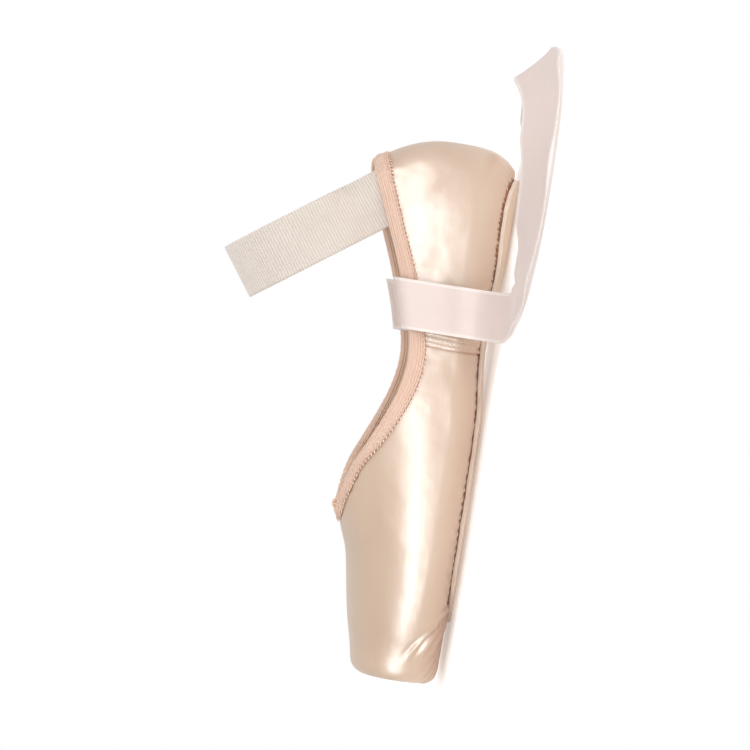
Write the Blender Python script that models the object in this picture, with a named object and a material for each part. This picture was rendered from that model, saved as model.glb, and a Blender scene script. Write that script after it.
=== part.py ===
# Pointe shoe, one straight-lasted shoe that fits either foot.
# Metres, +Z up, +Y towards the toe, +X to the wearer's right, origin on the floor
# under the middle of the shoe. A distance is measured from the back of the heel.

import math

import bpy
import numpy as np

# Lengths along the shoe
shoe_length = 0.240
vamp_length = 0.072
heel_cap_length = 0.034
heel_overhang = 0.012
collar_lean = 0.014
outsole_length = 0.200

# Widths
ball_width = 0.087
waist_width = 0.066
heel_width = 0.061
platform_width = 0.0435
outsole_ball_width = 0.056
outsole_waist_width = 0.033
outsole_heel_width = 0.043

# Heights above the floor
heel_height = 0.066
side_height = 0.0375
throat_height = 0.0572
belly_height = 0.019
platform_base = 0.0085
platform_height = 0.026
platform_round = 0.0058
arch_rise = 0.0033

# Walls and layers
quarter_wall = 0.0015
box_wall = 0.003
outsole_thickness = 0.002
outsole_edge_thickness = 0.0024
outsole_lap = 0.006
insole_thickness = 0.0025
insole_edge_thickness = 0.0008
insole_length = 0.214
pleat_depth = 0.0004
clearance = 0.0003
facet_room = 0.00012

# Binding, drawstring, elastic and ribbons
binding_width = 0.0065
binding_thickness = 0.0009
knot_width = 0.0070
knot_depth = 0.0044
knot_height = 0.0048
elastic_width = 0.025
elastic_thickness = 0.0012
elastic_station = 0.030
elastic_sewn = 0.010
elastic_reach = 0.072
elastic_span = 0.057
elastic_rise = math.radians(54)
ribbon_width = 0.022
ribbon_thickness = 0.0005
ribbon_station = 0.075
ribbon_sewn = 0.016

# How square the rounded sections are, 2 being an ellipse, and where the arch lies
crown_square = 2.2
arch_start = 0.20
arch_end = 0.53

throat_distance = shoe_length - vamp_length
bulge_height = 0.45 * heel_height
outsole_start = heel_overhang
outsole_end = outsole_start + outsole_length
upper_base = outsole_thickness + clearance

# Half width of the last: share of the shoe length, the width it follows, share of it
width_rows = (
    (0.000, heel_width, 0.98),
    (0.140, heel_width, 1.00),
    (0.250, heel_width, 1.01),
    (0.400, waist_width, 1.00),
    (0.480, waist_width, 1.12),
    (0.550, ball_width, 0.915),
    (0.620, ball_width, 0.975),
    (0.700, ball_width, 1.00),
    (0.750, ball_width, 0.998),
    (0.820, ball_width, 0.940),
    (0.900, ball_width, 0.795),
    (0.960, platform_width, 1.29),
    (1.000, platform_width, 1.18),
)

# Top line of the collar: share of the throat distance, height followed, share of it
collar_rows = (
    (0.000, heel_height, 1.000),
    (0.090, heel_height, 0.980),
    (0.230, heel_height, 0.850),
    (0.360, heel_height, 0.715),
    (0.475, side_height, 1.085),
    (0.577, side_height, 1.000),
    (0.667, side_height, 1.053),
    (0.744, side_height, 1.173),
    (0.810, throat_height, 0.853),
    (0.880, throat_height, 0.940),
    (0.940, throat_height, 0.982),
    (1.000, throat_height, 1.000),
    (1.070, throat_height, 1.012),
)

# Crown of the last behind the throat, which sets how far the quarters lean in
instep_rows = (
    (0.000, 1.50),
    (0.240, 1.43),
    (0.580, 1.46),
    (0.690, 1.33),
    (0.780, 1.13),
    (0.860, 1.052),
    (0.940, 1.020),
)

# Top of the vamp: share of the vamp length, share of the drop from throat to platform
vamp_rows = (
    (0.00, 1.00),
    (0.11, 0.87),
    (0.25, 0.64),
    (0.39, 0.52),
    (0.54, 0.41),
    (0.68, 0.29),
    (0.84, 0.12),
    (1.00, 0.00),
)

# Height of the widest line, and squareness of the section below it
belly_rows = (
    (0.00, 1.15, 2.3),
    (0.25, 1.10, 2.3),
    (0.42, 0.95, 2.2),
    (0.70, 0.92, 2.6),
    (0.88, 0.98, 2.5),
    (1.00, 1.12, 2.3),
)

# Half width of the outsole: share of its length, the width it follows, share of it
outsole_rows = (
    (0.00, outsole_heel_width, 1.00),
    (0.12, outsole_heel_width, 1.00),
    (0.25, outsole_heel_width, 0.89),
    (0.42, outsole_waist_width, 1.00),
    (0.58, outsole_ball_width, 0.80),
    (0.76, outsole_ball_width, 1.00),
    (0.90, outsole_ball_width, 0.92),
    (1.00, outsole_ball_width, 0.80),
)

# Loop of the elastic from the ankle's front back to the collar: share of its reach,
# share of its half span
elastic_rows = (
    (1.000, 0.00),
    (0.985, 0.33),
    (0.930, 0.63),
    (0.830, 0.86),
    (0.680, 0.985),
    (0.500, 1.00),
    (0.320, 0.96),
    (0.160, 0.89),
    (0.000, 0.82),
)

# Ribbons on the floor: distance out from the centre plane, y, lean of the width in degrees
left_ribbon_route = (
    (0.062, -0.0455, 0),
    (0.080, -0.0470, -2),
    (0.099, -0.0500, -4),
    (0.118, -0.0555, -8),
    (0.135, -0.0645, -14),
    (0.148, -0.0785, -20),
    (0.154, -0.0960, -26),
    (0.153, -0.1145, -30),
    (0.145, -0.1310, -34),
    (0.131, -0.1435, -40),
    (0.113, -0.1510, -46),
    (0.094, -0.1530, -42),
    (0.075, -0.1505, -26),
    (0.056, -0.1460, -10),
    (0.037, -0.1425, 0),
    (0.017, -0.1415, 0),
    (-0.003, -0.1430, 3),
    (-0.023, -0.1460, 3),
    (-0.042, -0.1490, 0),
)
right_ribbon_route = (
    (0.062, -0.0445, 0),
    (0.079, -0.041, 4),
    (0.094, -0.031, 12),
    (0.104, -0.015, 24),
    (0.107, 0.004, 36),
    (0.103, 0.023, 40),
    (0.095, 0.041, 26),
    (0.090, 0.060, 6),
    (0.094, 0.078, -12),
    (0.106, 0.092, -26),
    (0.124, 0.099, -35),
    (0.143, 0.096, -36),
    (0.158, 0.084, -30),
    (0.166, 0.067, -19),
    (0.169, 0.048, -8),
    (0.172, 0.029, 0),
    (0.179, 0.011, 4),
    (0.189, -0.005, 3),
    (0.201, -0.019, 0),
)

# How finely the solids are faceted
curve_samples = 400
curve_angles = 150
toe_columns = 14
side_columns = 15
heel_columns = 8
upper_rows = 19
outsole_stations = 30
insole_stations = 24
elastic_stations = 16
ribbon_steps = 2


def curve_through(rows):
    # Smooth curve through (position, value) rows, as fine samples for interpolation
    at = np.array([row[0] for row in rows])
    value = np.array([row[1] for row in rows])
    run = np.diff(at)
    slope = np.diff(value) / run
    tangent = np.empty(len(at))
    tangent[0] = slope[0]
    tangent[-1] = slope[-1]
    tangent[1:-1] = (slope[:-1] * run[1:] + slope[1:] * run[:-1]) / (run[1:] + run[:-1])
    fine = np.linspace(at[0], at[-1], curve_samples)
    span = np.clip(np.searchsorted(at, fine, side="right") - 1, 0, len(run) - 1)
    u = (fine - at[span]) / run[span]
    height = (
        (1 + 2 * u) * (1 - u) ** 2 * value[span]
        + u * (1 - u) ** 2 * run[span] * tangent[span]
        + u ** 2 * (3 - 2 * u) * value[span + 1]
        + u ** 2 * (u - 1) * run[span] * tangent[span + 1]
    )
    return fine, height


def ridge_rows():
    # Top of the last from the heel to the platform
    rows = [(share * throat_distance, height * throat_height) for share, height in instep_rows]
    toe_top = platform_base + platform_height + platform_round
    for share, drop in vamp_rows:
        height = toe_top + drop * (throat_height - toe_top)
        rows.append((throat_distance + share * vamp_length, height))
    return rows


width_curve = curve_through([(a * shoe_length, b * c / 2) for a, b, c in width_rows])
collar_curve = curve_through([(a * throat_distance, b * c) for a, b, c in collar_rows])
ridge_curve = curve_through(ridge_rows())
belly_curve = curve_through([(a * shoe_length, b * belly_height) for a, b, c in belly_rows])
square_curve = curve_through([(a * shoe_length, c) for a, b, c in belly_rows])
outsole_curve = curve_through(
    [(outsole_start + a * outsole_length, b * c / 2) for a, b, c in outsole_rows]
)
elastic_curve = curve_through([(-a, b) for a, b in elastic_rows])


def read(curve, at):
    return np.interp(at, curve[0], curve[1])


def wall_at(distance):
    # Thin quarters grow into the stiff box between the throat and the middle of the vamp
    share = (distance - throat_distance) / (0.4 * vamp_length)
    share = np.clip(share, 0, 1)
    return quarter_wall + (box_wall - quarter_wall) * share ** 2 * (3 - 2 * share)


def arch_at(distance):
    # Rise of the waist between the flat of the heel and the flat of the forefoot
    share = (distance / shoe_length - arch_start) / (arch_end - arch_start)
    return arch_rise * np.sin(math.pi * np.clip(share, 0, 1)) ** 2


def heel_back(height):
    # How far the back of the heel stands in from the bulge at a height
    below = np.clip((bulge_height - height) / bulge_height, 0, 1)
    above = np.clip((height - bulge_height) / (heel_height - bulge_height), 0, 2)
    return heel_overhang * below ** 4 + collar_lean * above ** crown_square


def section(distance, walls, inset):
    # Half width, ridge, base and belly of the last, shrunk by walls and an inset
    inset = inset + walls * wall_at(distance)
    tip = shoe_length - inset
    end = np.clip((distance - tip) / platform_round + 1, 0, 1)
    trim = platform_round * (1 - np.sqrt(1 - end ** 2))
    half = read(width_curve, distance) - inset - 0.72 * trim
    ridge = read(ridge_curve, distance) - inset - trim
    base = upper_base + arch_at(distance) + inset + trim
    return half, ridge, base, read(belly_curve, distance), tip


def heel_share(distance, height, inset):
    # Rounding of the heel in plan, 1 ahead of the heel cap and 0 at its back
    back = heel_back(height) + inset
    share = (heel_cap_length - distance) / (heel_cap_length - back)
    return (1 - np.clip(share, 0, 1) ** crown_square) ** (1 / crown_square), back


def is_outside(x, distance, height, walls, inset):
    half, ridge, base, belly, tip = section(distance, walls, inset)
    rounding, back = heel_share(distance, height, inset + walls * quarter_wall)
    half = np.maximum(half * rounding, 1e-6)
    upper = height > belly
    reach = np.where(upper, ridge - belly, belly - base)
    power = np.where(upper, crown_square, read(square_curve, distance))
    level = (np.abs(x) / half) ** power + (np.abs(height - belly) / reach) ** power
    return (level > 1) | (distance < back) | (distance > tip)


def half_width(distance, height, walls=0, inset=0):
    # Half width of the last at a distance and height
    half, ridge, base, belly, tip = section(distance, walls, inset)
    rounding, back = heel_share(distance, height, inset + walls * quarter_wall)
    upper = height > belly
    reach = np.where(upper, ridge - belly, belly - base)
    power = np.where(upper, crown_square, read(square_curve, distance))
    share = np.clip(np.abs(height - belly) / reach, 0, 1)
    return half * rounding * (1 - share ** power) ** (1 / power)


def underside(x, distance, walls=0, inset=0):
    # Height of the last's underside above the floor
    low = np.zeros_like(x) - belly_height
    high = read(belly_curve, distance) * np.ones_like(x)
    for _ in range(40):
        middle = (low + high) / 2
        out = is_outside(x, distance, middle, walls, inset)
        low = np.where(out, middle, low)
        high = np.where(out, high, middle)
    return high


def outsole_half(distance, inset=0):
    # Half width of the outsole with its two round ends
    length = 0.11 * outsole_length
    heel = (outsole_start + length - distance) / (length - inset)
    toe = (distance - outsole_end + 1.3 * length) / (1.3 * length - inset)
    end = np.clip(np.maximum(heel, toe), 0, 1)
    return (read(outsole_curve, distance) - inset) * (1 - end ** crown_square) ** (1 / crown_square)


def plan_rays(toe, side, heel):
    # Vertical planes around the shoe: start distance on the centre line, and the plan
    # direction (x, y), from the toe along the right side, round the heel and back
    toe_centre = throat_distance - 0.25 * vamp_length
    rays = []
    for i in range(toe):
        angle = math.pi / 2 * (i / toe) ** 1.5
        rays.append((toe_centre, math.sin(angle), math.cos(angle)))
    for i in range(side):
        rays.append((toe_centre + (heel_cap_length - toe_centre) * i / side, 1.0, 0.0))
    for i in range(heel + 1):
        angle = math.pi / 2 * (1 - i / heel)
        rays.append((heel_cap_length, math.sin(angle), -math.cos(angle)))
    mirrored = [(start, -x, y) for start, x, y in reversed(rays[1:-1])]
    return np.array(rays + mirrored)


def find_edge(low, high, is_out):
    # Distances along rays where is_out changes from false to true
    for _ in range(40):
        middle = (low + high) / 2
        out = is_out(middle)
        high = np.where(out, middle, high)
        low = np.where(out, low, middle)
    return (low + high) / 2


def ring_reach(rays):
    # Plan reach of the upper's lower edge, which lies in under the outsole's outline
    start, x, y = rays.T

    def beyond(reach):
        half = outsole_half(start + reach * y, outsole_lap)
        ahead = start + reach * y > outsole_end - outsole_lap
        behind = start + reach * y < outsole_start + outsole_lap
        return (reach * np.abs(x) > half) | ahead | behind

    return find_edge(np.zeros(len(rays)), np.full(len(rays), shoe_length), beyond)


def side_curves(rays, walls=0, inset=0):
    # The last's surface in each vertical plane, as points (x, distance, height)
    # from under the shoe up to and over the top
    start = rays[:, :1]
    angle = np.radians(np.linspace(-84, 86, curve_angles))[None, :]
    across = rays[:, 1:2] * np.cos(angle)
    along = rays[:, 2:3] * np.cos(angle)
    rise = np.sin(angle) * np.ones_like(start)

    def beyond(reach):
        return is_outside(
            reach * across, start + reach * along, belly_height + reach * rise, walls, inset
        )

    zero = np.zeros_like(across)
    reach = find_edge(zero, zero + shoe_length, beyond)
    return np.stack(
        [reach * across, start + reach * along, belly_height + reach * rise], axis=2
    )


def cut_curve(curve, level):
    # Point where level, given for each point of the curve, changes from below 0
    after = int(np.argmax(level > 0))
    share = level[after - 1] / (level[after - 1] - level[after])
    return after, curve[after - 1] + share * (curve[after] - curve[after - 1])


def collar_edges(rays):
    # Points where the last's surface meets the collar line in each vertical plane
    edges = []
    for curve in side_curves(rays):
        above = curve[:, 2] - read(collar_curve, curve[:, 1])
        above = np.where(curve[:, 2] < belly_height, -1, above)
        edges.append(cut_curve(curve, above)[1])
    return edges


def wall_curve(curve, ray, ring, edge):
    # Part of a side curve from the lower edge to the point nearest the collar's edge
    reach = np.hypot(curve[:, 0], curve[:, 1] - ray[0])
    first, lower = cut_curve(curve, reach - ring)
    step = curve[1:] - curve[:-1]
    share = np.sum((edge - curve[:-1]) * step, axis=1) / np.sum(step * step, axis=1)
    nearest = curve[:-1] + np.clip(share, 0, 1)[:, None] * step
    last = int(np.argmin(np.linalg.norm(nearest - edge, axis=1)))
    return np.vstack([lower, curve[first:last + 1], nearest[last]])


def lengths_along(curve):
    step = np.linalg.norm(np.diff(curve, axis=0), axis=1)
    return np.concatenate([[0], np.cumsum(step)])


def resample(curve, count):
    # Rows along a curve, closer together where it turns
    step = np.diff(curve, axis=0)
    length = np.linalg.norm(step, axis=1) + 1e-9
    unit = step / length[:, None]
    turn = np.arccos(np.clip(np.sum(unit[1:] * unit[:-1], axis=1), -1, 1))
    weight = length + belly_height * 0.35 * np.concatenate([[0], turn])
    run = np.concatenate([[0], np.cumsum(weight)])
    at = np.linspace(0, run[-1], count)
    return np.stack([np.interp(at, run, curve[:, k]) for k in range(3)], axis=1)


def below_edge(curve, depth):
    # Point on a wall curve below its upper end, or straight beyond it for a minus depth
    if depth < 0:
        unit = curve[-1] - curve[-3]
        return curve[-1] - depth * unit / np.linalg.norm(unit)
    run = lengths_along(curve)
    at = run[-1] - depth
    return np.array([np.interp(at, run, curve[:, k]) for k in range(3)])


def placed(points):
    # From (x, distance, height) to the part's own frame
    points = np.array(points, dtype=float)
    points[..., 1] -= shoe_length / 2
    return points


def ring_faces(rings, count, closed, turned=None):
    # Triangles between rings of points that follow each other; closed joins last to
    # first. The diagonals turn over half way, so that both sides mirror each other, and
    # from the turned point on, where a strip runs back along the wall beneath it
    faces = []
    turned = count if turned is None else turned
    for i in range(rings if closed else rings - 1):
        near = i * count
        far = (i + 1) % rings * count
        for j in range(count):
            after = (j + 1) % count
            if (i < rings / 2) == (j < turned):
                faces.append((near + j, near + after, far + after))
                faces.append((near + j, far + after, far + j))
            else:
                faces.append((near + j, near + after, far + j))
                faces.append((near + after, far + after, far + j))
    return faces


def add_piece(name, points, faces, colour, roughness, metallic=0.0):
    mesh = bpy.data.meshes.new(name)
    mesh.from_pydata([tuple(p) for p in placed(points)], [], faces)
    mesh.validate()
    volume = 0.0
    mesh.calc_loop_triangles()
    for triangle in mesh.loop_triangles:
        a, b, c = (mesh.vertices[k].co for k in triangle.vertices)
        volume += a.dot(b.cross(c))
    if volume < 0:
        mesh.flip_normals()
    mesh.shade_smooth()
    mesh.set_sharp_from_angle(angle=math.radians(40))
    material = bpy.data.materials.new(name)
    material.use_nodes = True
    surface = material.node_tree.nodes["Principled BSDF"]
    surface.inputs["Base Color"].default_value = (*colour, 1.0)
    surface.inputs["Roughness"].default_value = roughness
    surface.inputs["Metallic"].default_value = metallic
    mesh.materials.append(material)
    piece = bpy.data.objects.new(name, mesh)
    bpy.context.collection.objects.link(piece)
    return piece


def pleated(points, ray_index):
    # Every second plane under the toe stands proud, as the gathered pleats do
    shift = pleat_depth if ray_index % 2 == 0 else -pleat_depth
    ahead = np.clip((points[:, 1] - outsole_end) / (0.04 * shoe_length), 0, 1)
    low = np.clip(1.6 - points[:, 2] / platform_base, 0, 1)
    out = points.copy()
    out[:, 2] -= shift * ahead * low
    return out


def wall_rows(curve):
    # Rows up a wall curve, the last two at the binding's lower and upper edges
    depth = lengths_along(curve)
    kept = depth < depth[-1] - binding_width
    lower = np.vstack([curve[kept], below_edge(curve, binding_width)])
    return np.vstack([resample(lower, upper_rows - 1), curve[-1]])


def make_upper(rays, ring, edges):
    # One hollow wall, open at the collar and under the sole: each plane gives a closed
    # strip of points up the outside and down the inside
    outer = side_curves(rays)
    inner = side_curves(rays, walls=1)
    strips = []
    for i in range(len(rays)):
        outside = wall_rows(wall_curve(outer[i], rays[i], ring[i], edges[i]))
        inside = wall_rows(wall_curve(inner[i], rays[i], ring[i], edges[i]))
        outside = pleated(outside, min(i, len(rays) - i))
        strips.append(np.vstack([outside, inside[::-1]]))
    count = 2 * upper_rows
    faces = ring_faces(len(rays), count, closed=True)
    return add_piece("upper", np.vstack(strips), faces, (0.86, 0.60, 0.44), 0.35)


def make_binding(rays, ring, edges):
    # Folded tape over the collar's edge, with the drawstring channel inside it
    faces_at = {
        "outer": side_curves(rays, 0, -clearance - binding_thickness),
        "outer_gap": side_curves(rays, 0, -clearance),
        "inner_gap": side_curves(rays, 1, clearance),
        "inner": side_curves(rays, 1, clearance + binding_thickness),
    }
    strips = []
    for i in range(len(rays)):
        wall = {
            name: wall_curve(curves[i], rays[i], ring[i], edges[i])
            for name, curves in faces_at.items()
        }
        crown = clearance + binding_thickness
        top = (below_edge(wall["outer"], -crown) + below_edge(wall["inner"], -crown)) / 2
        strips.append([
            below_edge(wall["outer"], binding_width),
            below_edge(wall["outer"], -0.4 * crown),
            top,
            below_edge(wall["inner"], -0.4 * crown),
            below_edge(wall["inner"], binding_width),
            below_edge(wall["inner_gap"], binding_width),
            below_edge(wall["inner_gap"], -clearance),
            below_edge(wall["outer_gap"], -clearance),
            below_edge(wall["outer_gap"], binding_width),
        ])
    faces = ring_faces(len(rays), len(strips[0]), closed=True, turned=5)
    return add_piece("binding", np.vstack(strips), faces, (0.88, 0.58, 0.44), 0.6)


def lofted(name, sections, colour, roughness):
    # Solid between closed sections, with its two ends filled
    count = len(sections[0])
    faces = ring_faces(len(sections), count, closed=False)
    faces.append(tuple(reversed(range(count))))
    last = (len(sections) - 1) * count
    faces.append(tuple(range(last, last + count)))
    return add_piece(name, np.vstack(sections), faces, colour, roughness)


def end_spaced(first, last, count):
    # Stations that crowd towards both ends, for round ends
    share = (1 - np.cos(math.pi * np.linspace(0, 1, count))) / 2
    return first + (last - first) * share


def make_outsole():
    # Leather sole, flat on the floor at heel and forefoot and cupped to the upper's edge
    sections = []
    across = np.array([-1, -0.86, -0.66, -0.42, 0, 0.42, 0.66, 0.86, 1])
    end_gap = 0.0012 * outsole_length
    for distance in end_spaced(outsole_start + end_gap, outsole_end - end_gap, outsole_stations):
        x = across * outsole_half(distance)
        top = underside(x, distance) - clearance - facet_room
        floor = arch_at(distance)
        bottom = np.maximum(floor, top - outsole_edge_thickness)
        distances = np.full(len(x), distance)
        lower = np.stack([x, distances, bottom], axis=1)
        upper = np.stack([x, distances, top], axis=1)
        sections.append(np.vstack([lower, upper[::-1]]))
    return lofted("outsole", sections, (0.52, 0.36, 0.25), 0.75)


def make_insole():
    # Sock-lined insole that lies in the upper and fills its open bottom
    sections = []
    across = np.array([-1, -0.8, -0.5, 0, 0.5, 0.8, 1])
    seat = upper_base + quarter_wall + clearance
    edge = seat + insole_thickness - insole_edge_thickness
    first = heel_back(edge) + 3 * quarter_wall
    for distance in end_spaced(first, insole_length, insole_stations):
        rise = arch_at(distance) + wall_at(distance) - quarter_wall
        half = half_width(distance, edge + rise, 1, clearance + facet_room)
        toe = np.clip(distance / insole_length * 9.2 - 8.2, 0, 0.999)
        half = half * (1 - toe ** crown_square) ** (1 / crown_square)
        x = across * half
        bottom = underside(x, distance, 1, clearance + facet_room)
        top = np.full(len(x), seat + rise + insole_thickness)
        distances = np.full(len(x), distance)
        lower = np.stack([x, distances, np.minimum(bottom, top - insole_edge_thickness)], axis=1)
        upper = np.stack([x, distances, top], axis=1)
        sections.append(np.vstack([lower, upper[::-1]]))
    return lofted("insole", sections, (0.80, 0.72, 0.60), 0.8)


def make_elastic():
    # Worn loop of ribbed elastic, sewn inside the collar on both sides of the heel
    along = np.array([0, math.cos(elastic_rise), math.sin(elastic_rise)])
    upward = np.array([0, -math.sin(elastic_rise), math.cos(elastic_rise)])
    origin = np.array([0, elastic_station, float(read(collar_curve, elastic_station))])
    seat = 2 * clearance + facet_room + binding_thickness
    free = [elastic_reach * share for share, _ in elastic_rows]
    fine = np.linspace(0, 1, elastic_stations)
    reach = np.interp(fine, np.linspace(0, 1, len(free)), free)
    reach = np.concatenate([reach, [-0.5 * elastic_sewn, -elastic_sewn]])
    span = elastic_span / 2 * read(elastic_curve, -reach / elastic_reach)
    path = np.stack([span, reach], axis=1)
    step = np.gradient(path, axis=0)
    step[0] = (1, 0)
    step[-3:] = (0, -1)
    inward = np.stack([step[:, 1], -step[:, 0]], axis=1)
    inward /= np.linalg.norm(inward, axis=1)[:, None]
    sections = []
    across = np.array([-0.5, -0.17, 0.17, 0.5]) * elastic_width
    for side in (1, -1):
        half = []
        for k in range(len(reach)):
            centre = origin + reach[k] * along + across[:, None] * upward
            free_share = np.clip((reach[k] - 0.04 * elastic_reach) / (0.3 * elastic_reach), 0, 1)
            free_share = free_share ** 2 * (3 - 2 * free_share)
            wall = half_width(centre[:, 1], centre[:, 2], 1, seat)
            x = wall + free_share * (span[k] - wall)
            outer = centre.copy()
            outer[:, 0] = x
            shift = elastic_thickness * (inward[k, 0] * np.array([1.0, 0, 0]) + inward[k, 1] * along)
            ring = np.vstack([outer, (outer + shift)[::-1]])
            ring[:, 0] *= side
            half.append(ring)
        if side == 1:
            sections = half[::-1]
        else:
            sections += half[1:]
    return lofted("elastic", sections, (0.82, 0.74, 0.63), 0.85)


def smooth_path(points, steps):
    # Points on a smooth curve through the given ones, steps to each span
    before = np.concatenate([2 * points[:1] - points[1:2], points[:-1]])
    after = np.concatenate([points[1:], 2 * points[-1:] - points[-2:-1]])
    tangent = (after - before) / 2
    out = []
    for i in range(len(points) - 1):
        for k in range(steps):
            u = k / steps
            out.append(
                (1 + 2 * u) * (1 - u) ** 2 * points[i]
                + u * (1 - u) ** 2 * tangent[i]
                + u ** 2 * (3 - 2 * u) * points[i + 1]
                + u ** 2 * (u - 1) * tangent[i + 1]
            )
    out.append(points[-1])
    return np.array(out)


def hanging_rows(across):
    # Rows across the ribbon, up inside the collar, over the binding and down the quarter
    station = ribbon_station + across
    crown = read(collar_curve, station)
    over = 3 * clearance + binding_thickness + ribbon_thickness / 2
    rows = []
    for depth in (1.0, 0.7, 0.4, 0.1):
        height = crown - depth * ribbon_sewn
        rows.append((half_width(station, height, 1, over), height))
    inside = rows[-1][0]
    outside = half_width(station, crown, 0, -over)
    rows.append((inside + 0.08 * (outside - inside), crown + 1.3 * over))
    rows.append(((inside + outside) / 2, crown + 2.1 * over))
    rows.append((outside, crown + 1.2 * over))
    rows.append((outside + 0.9 * over, crown - 2 * over))
    belly = half_width(station, belly_height, 0, -1.6 * over)
    for out, share in ((0.4, 0.62), (0.7, 0.40), (1.9, 0.22), (5.0, 0.09), (10.0, 0.02)):
        rows.append((belly + out * over, share * crown + ribbon_thickness))
    return [np.stack([x, station, height], axis=1) for x, height in rows]


def ribbon_rows(side, route):
    # All rows across a ribbon: the hanging ones, then those along the floor
    across = np.array([-0.5, -0.17, 0.17, 0.5]) * ribbon_width
    rows = hanging_rows(across)
    for row in rows:
        row[:, 0] *= side
    centre = np.array([(side * out, y + shoe_length / 2) for out, y, _ in route])
    heading = np.gradient(np.vstack([rows[-1][:, :2].mean(axis=0), centre]), axis=0)[1:]
    heading /= np.linalg.norm(heading, axis=1)[:, None]
    for k, (_, _, degrees) in enumerate(route):
        lean = math.radians(degrees)
        level = side * math.cos(lean) * np.array([-heading[k, 1], heading[k, 0]])
        lift = ribbon_width / 2 * abs(math.sin(lean)) + 1.5 * ribbon_thickness
        row = np.empty((len(across), 3))
        row[:, :2] = centre[k] + across[:, None] * level
        row[:, 2] = lift + across * math.sin(lean)
        rows.append(row)
    return np.array(rows)


def make_ribbon(name, side, route):
    # Satin ribbon as a thin strip, with its skin on both sides of the rows
    rows = smooth_path(ribbon_rows(side, route), ribbon_steps)
    along = np.gradient(rows, axis=0)
    width = np.gradient(rows, axis=1)
    normal = np.cross(along, width)
    normal /= np.linalg.norm(normal, axis=2)[:, :, None]
    front = rows + normal * ribbon_thickness / 2
    back = rows - normal * ribbon_thickness / 2
    sections = [np.vstack([front[k], back[k][::-1]]) for k in range(len(rows))]
    return lofted(name, sections, (0.90, 0.72, 0.66), 0.3)


def make_knot(rays, ring, edges):
    # Tied end of the drawstring, lying on the binding at the bottom of the throat
    crown = clearance + binding_thickness
    outer = wall_curve(side_curves(rays[:1], 0, -crown)[0], rays[0], ring[0], edges[0])
    centre = below_edge(outer, -crown)
    centre[2] += 0.41 * knot_height
    sections = []
    for i in range(1, 8):
        turn = math.pi * i / 8
        x = -knot_width / 2 * math.cos(turn)
        waist = math.sin(turn) * (1 - 0.18 * math.sin(turn) ** 6)
        ring_points = []
        for k in range(10):
            angle = 2 * math.pi * k / 10
            depth = knot_depth / 2 * waist * math.cos(angle)
            height = knot_height / 2 * waist * math.sin(angle)
            ring_points.append(centre + np.array([x, depth, height]))
        sections.append(np.array(ring_points))
    return lofted("drawstring", sections, (0.86, 0.66, 0.54), 0.8)


def build():
    for old in list(bpy.data.objects):
        bpy.data.objects.remove(old, do_unlink=True)
    rays = plan_rays(toe_columns, side_columns, heel_columns)
    ring = ring_reach(rays)
    edges = collar_edges(rays)
    make_upper(rays, ring, edges)
    make_outsole()
    make_insole()
    make_binding(rays, ring, edges)
    make_knot(rays, ring, edges)
    make_elastic()
    make_ribbon("ribbon_left", -1, left_ribbon_route)
    make_ribbon("ribbon_right", 1, right_ribbon_route)


build()
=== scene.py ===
# Looks of the pointe shoe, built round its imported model.
# Metres, +Y towards the toe, +X to the wearer's right, +Z up, origin on the floor under
# the middle of the shoe. A distance is measured from the back of the heel.

import math

import bpy
import numpy as np
from mathutils import Matrix, Vector


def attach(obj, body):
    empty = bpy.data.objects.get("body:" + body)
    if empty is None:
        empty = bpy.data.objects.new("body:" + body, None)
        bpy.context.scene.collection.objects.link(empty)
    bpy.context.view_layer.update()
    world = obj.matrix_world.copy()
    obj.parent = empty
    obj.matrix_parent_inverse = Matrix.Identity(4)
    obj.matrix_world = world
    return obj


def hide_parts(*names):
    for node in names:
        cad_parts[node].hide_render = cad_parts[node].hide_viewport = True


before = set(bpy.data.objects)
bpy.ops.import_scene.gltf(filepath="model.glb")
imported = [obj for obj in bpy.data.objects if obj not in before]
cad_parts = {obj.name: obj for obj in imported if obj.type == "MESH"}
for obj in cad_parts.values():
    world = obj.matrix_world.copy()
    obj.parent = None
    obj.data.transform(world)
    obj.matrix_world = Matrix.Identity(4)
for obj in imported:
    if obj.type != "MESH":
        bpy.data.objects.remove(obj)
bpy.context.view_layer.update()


# Small helpers

def linear(hexColour):
    # sRGB hex to the linear colour that shaders use
    out = []
    for i in (1, 3, 5):
        c = int(hexColour[i:i + 2], 16) / 255
        out.append(c / 12.92 if c <= 0.04045 else ((c + 0.055) / 1.055) ** 2.4)
    return (*out, 1.0)


def addNode(tree, kind, inputs=None, **settings):
    # One node with its settings; an input is a value or another node's socket
    node = tree.nodes.new(kind)
    for name, value in settings.items():
        setattr(node, name, value)
    for key, value in (inputs or {}).items():
        if isinstance(value, bpy.types.NodeSocket):
            tree.links.new(value, node.inputs[key])
        else:
            node.inputs[key].default_value = value
    return node


def smooth(share):
    share = np.clip(share, 0, 1)
    return share * share * (3 - 2 * share)


def unit(vectors):
    return vectors / (np.linalg.norm(vectors, axis=-1, keepdims=True) + 1e-12)


def ramp(value, start, length):
    # From 0 at the start to 1 a length further on, without corners
    return smooth((value - start) / length)


def bell(value, middle, width):
    return np.exp(-((value - middle) / width) ** 2)


def aroundRing(grid):
    # Step from each column's neighbour on one side to its neighbour on the other
    return np.roll(grid, -1, axis=0) - np.roll(grid, 1, axis=0)


def endSpaced(first, end, count):
    # Closer together towards both ends
    share = (1 - np.cos(math.pi * np.linspace(0, 1, count))) / 2
    return first + (end - first) * share


def placed(name, data):
    item = bpy.data.objects.new(name, data)
    bpy.context.collection.objects.link(item)
    return item


def stand(item, right, up, back, place):
    # Put a camera or light at a place, looking away from its back
    turn = Matrix((right, up, back)).transposed().to_4x4()
    turn.translation = place
    item.matrix_world = turn


# Camera: level with the floor at the shoe's left side, rolled so that the toe points down

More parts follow.
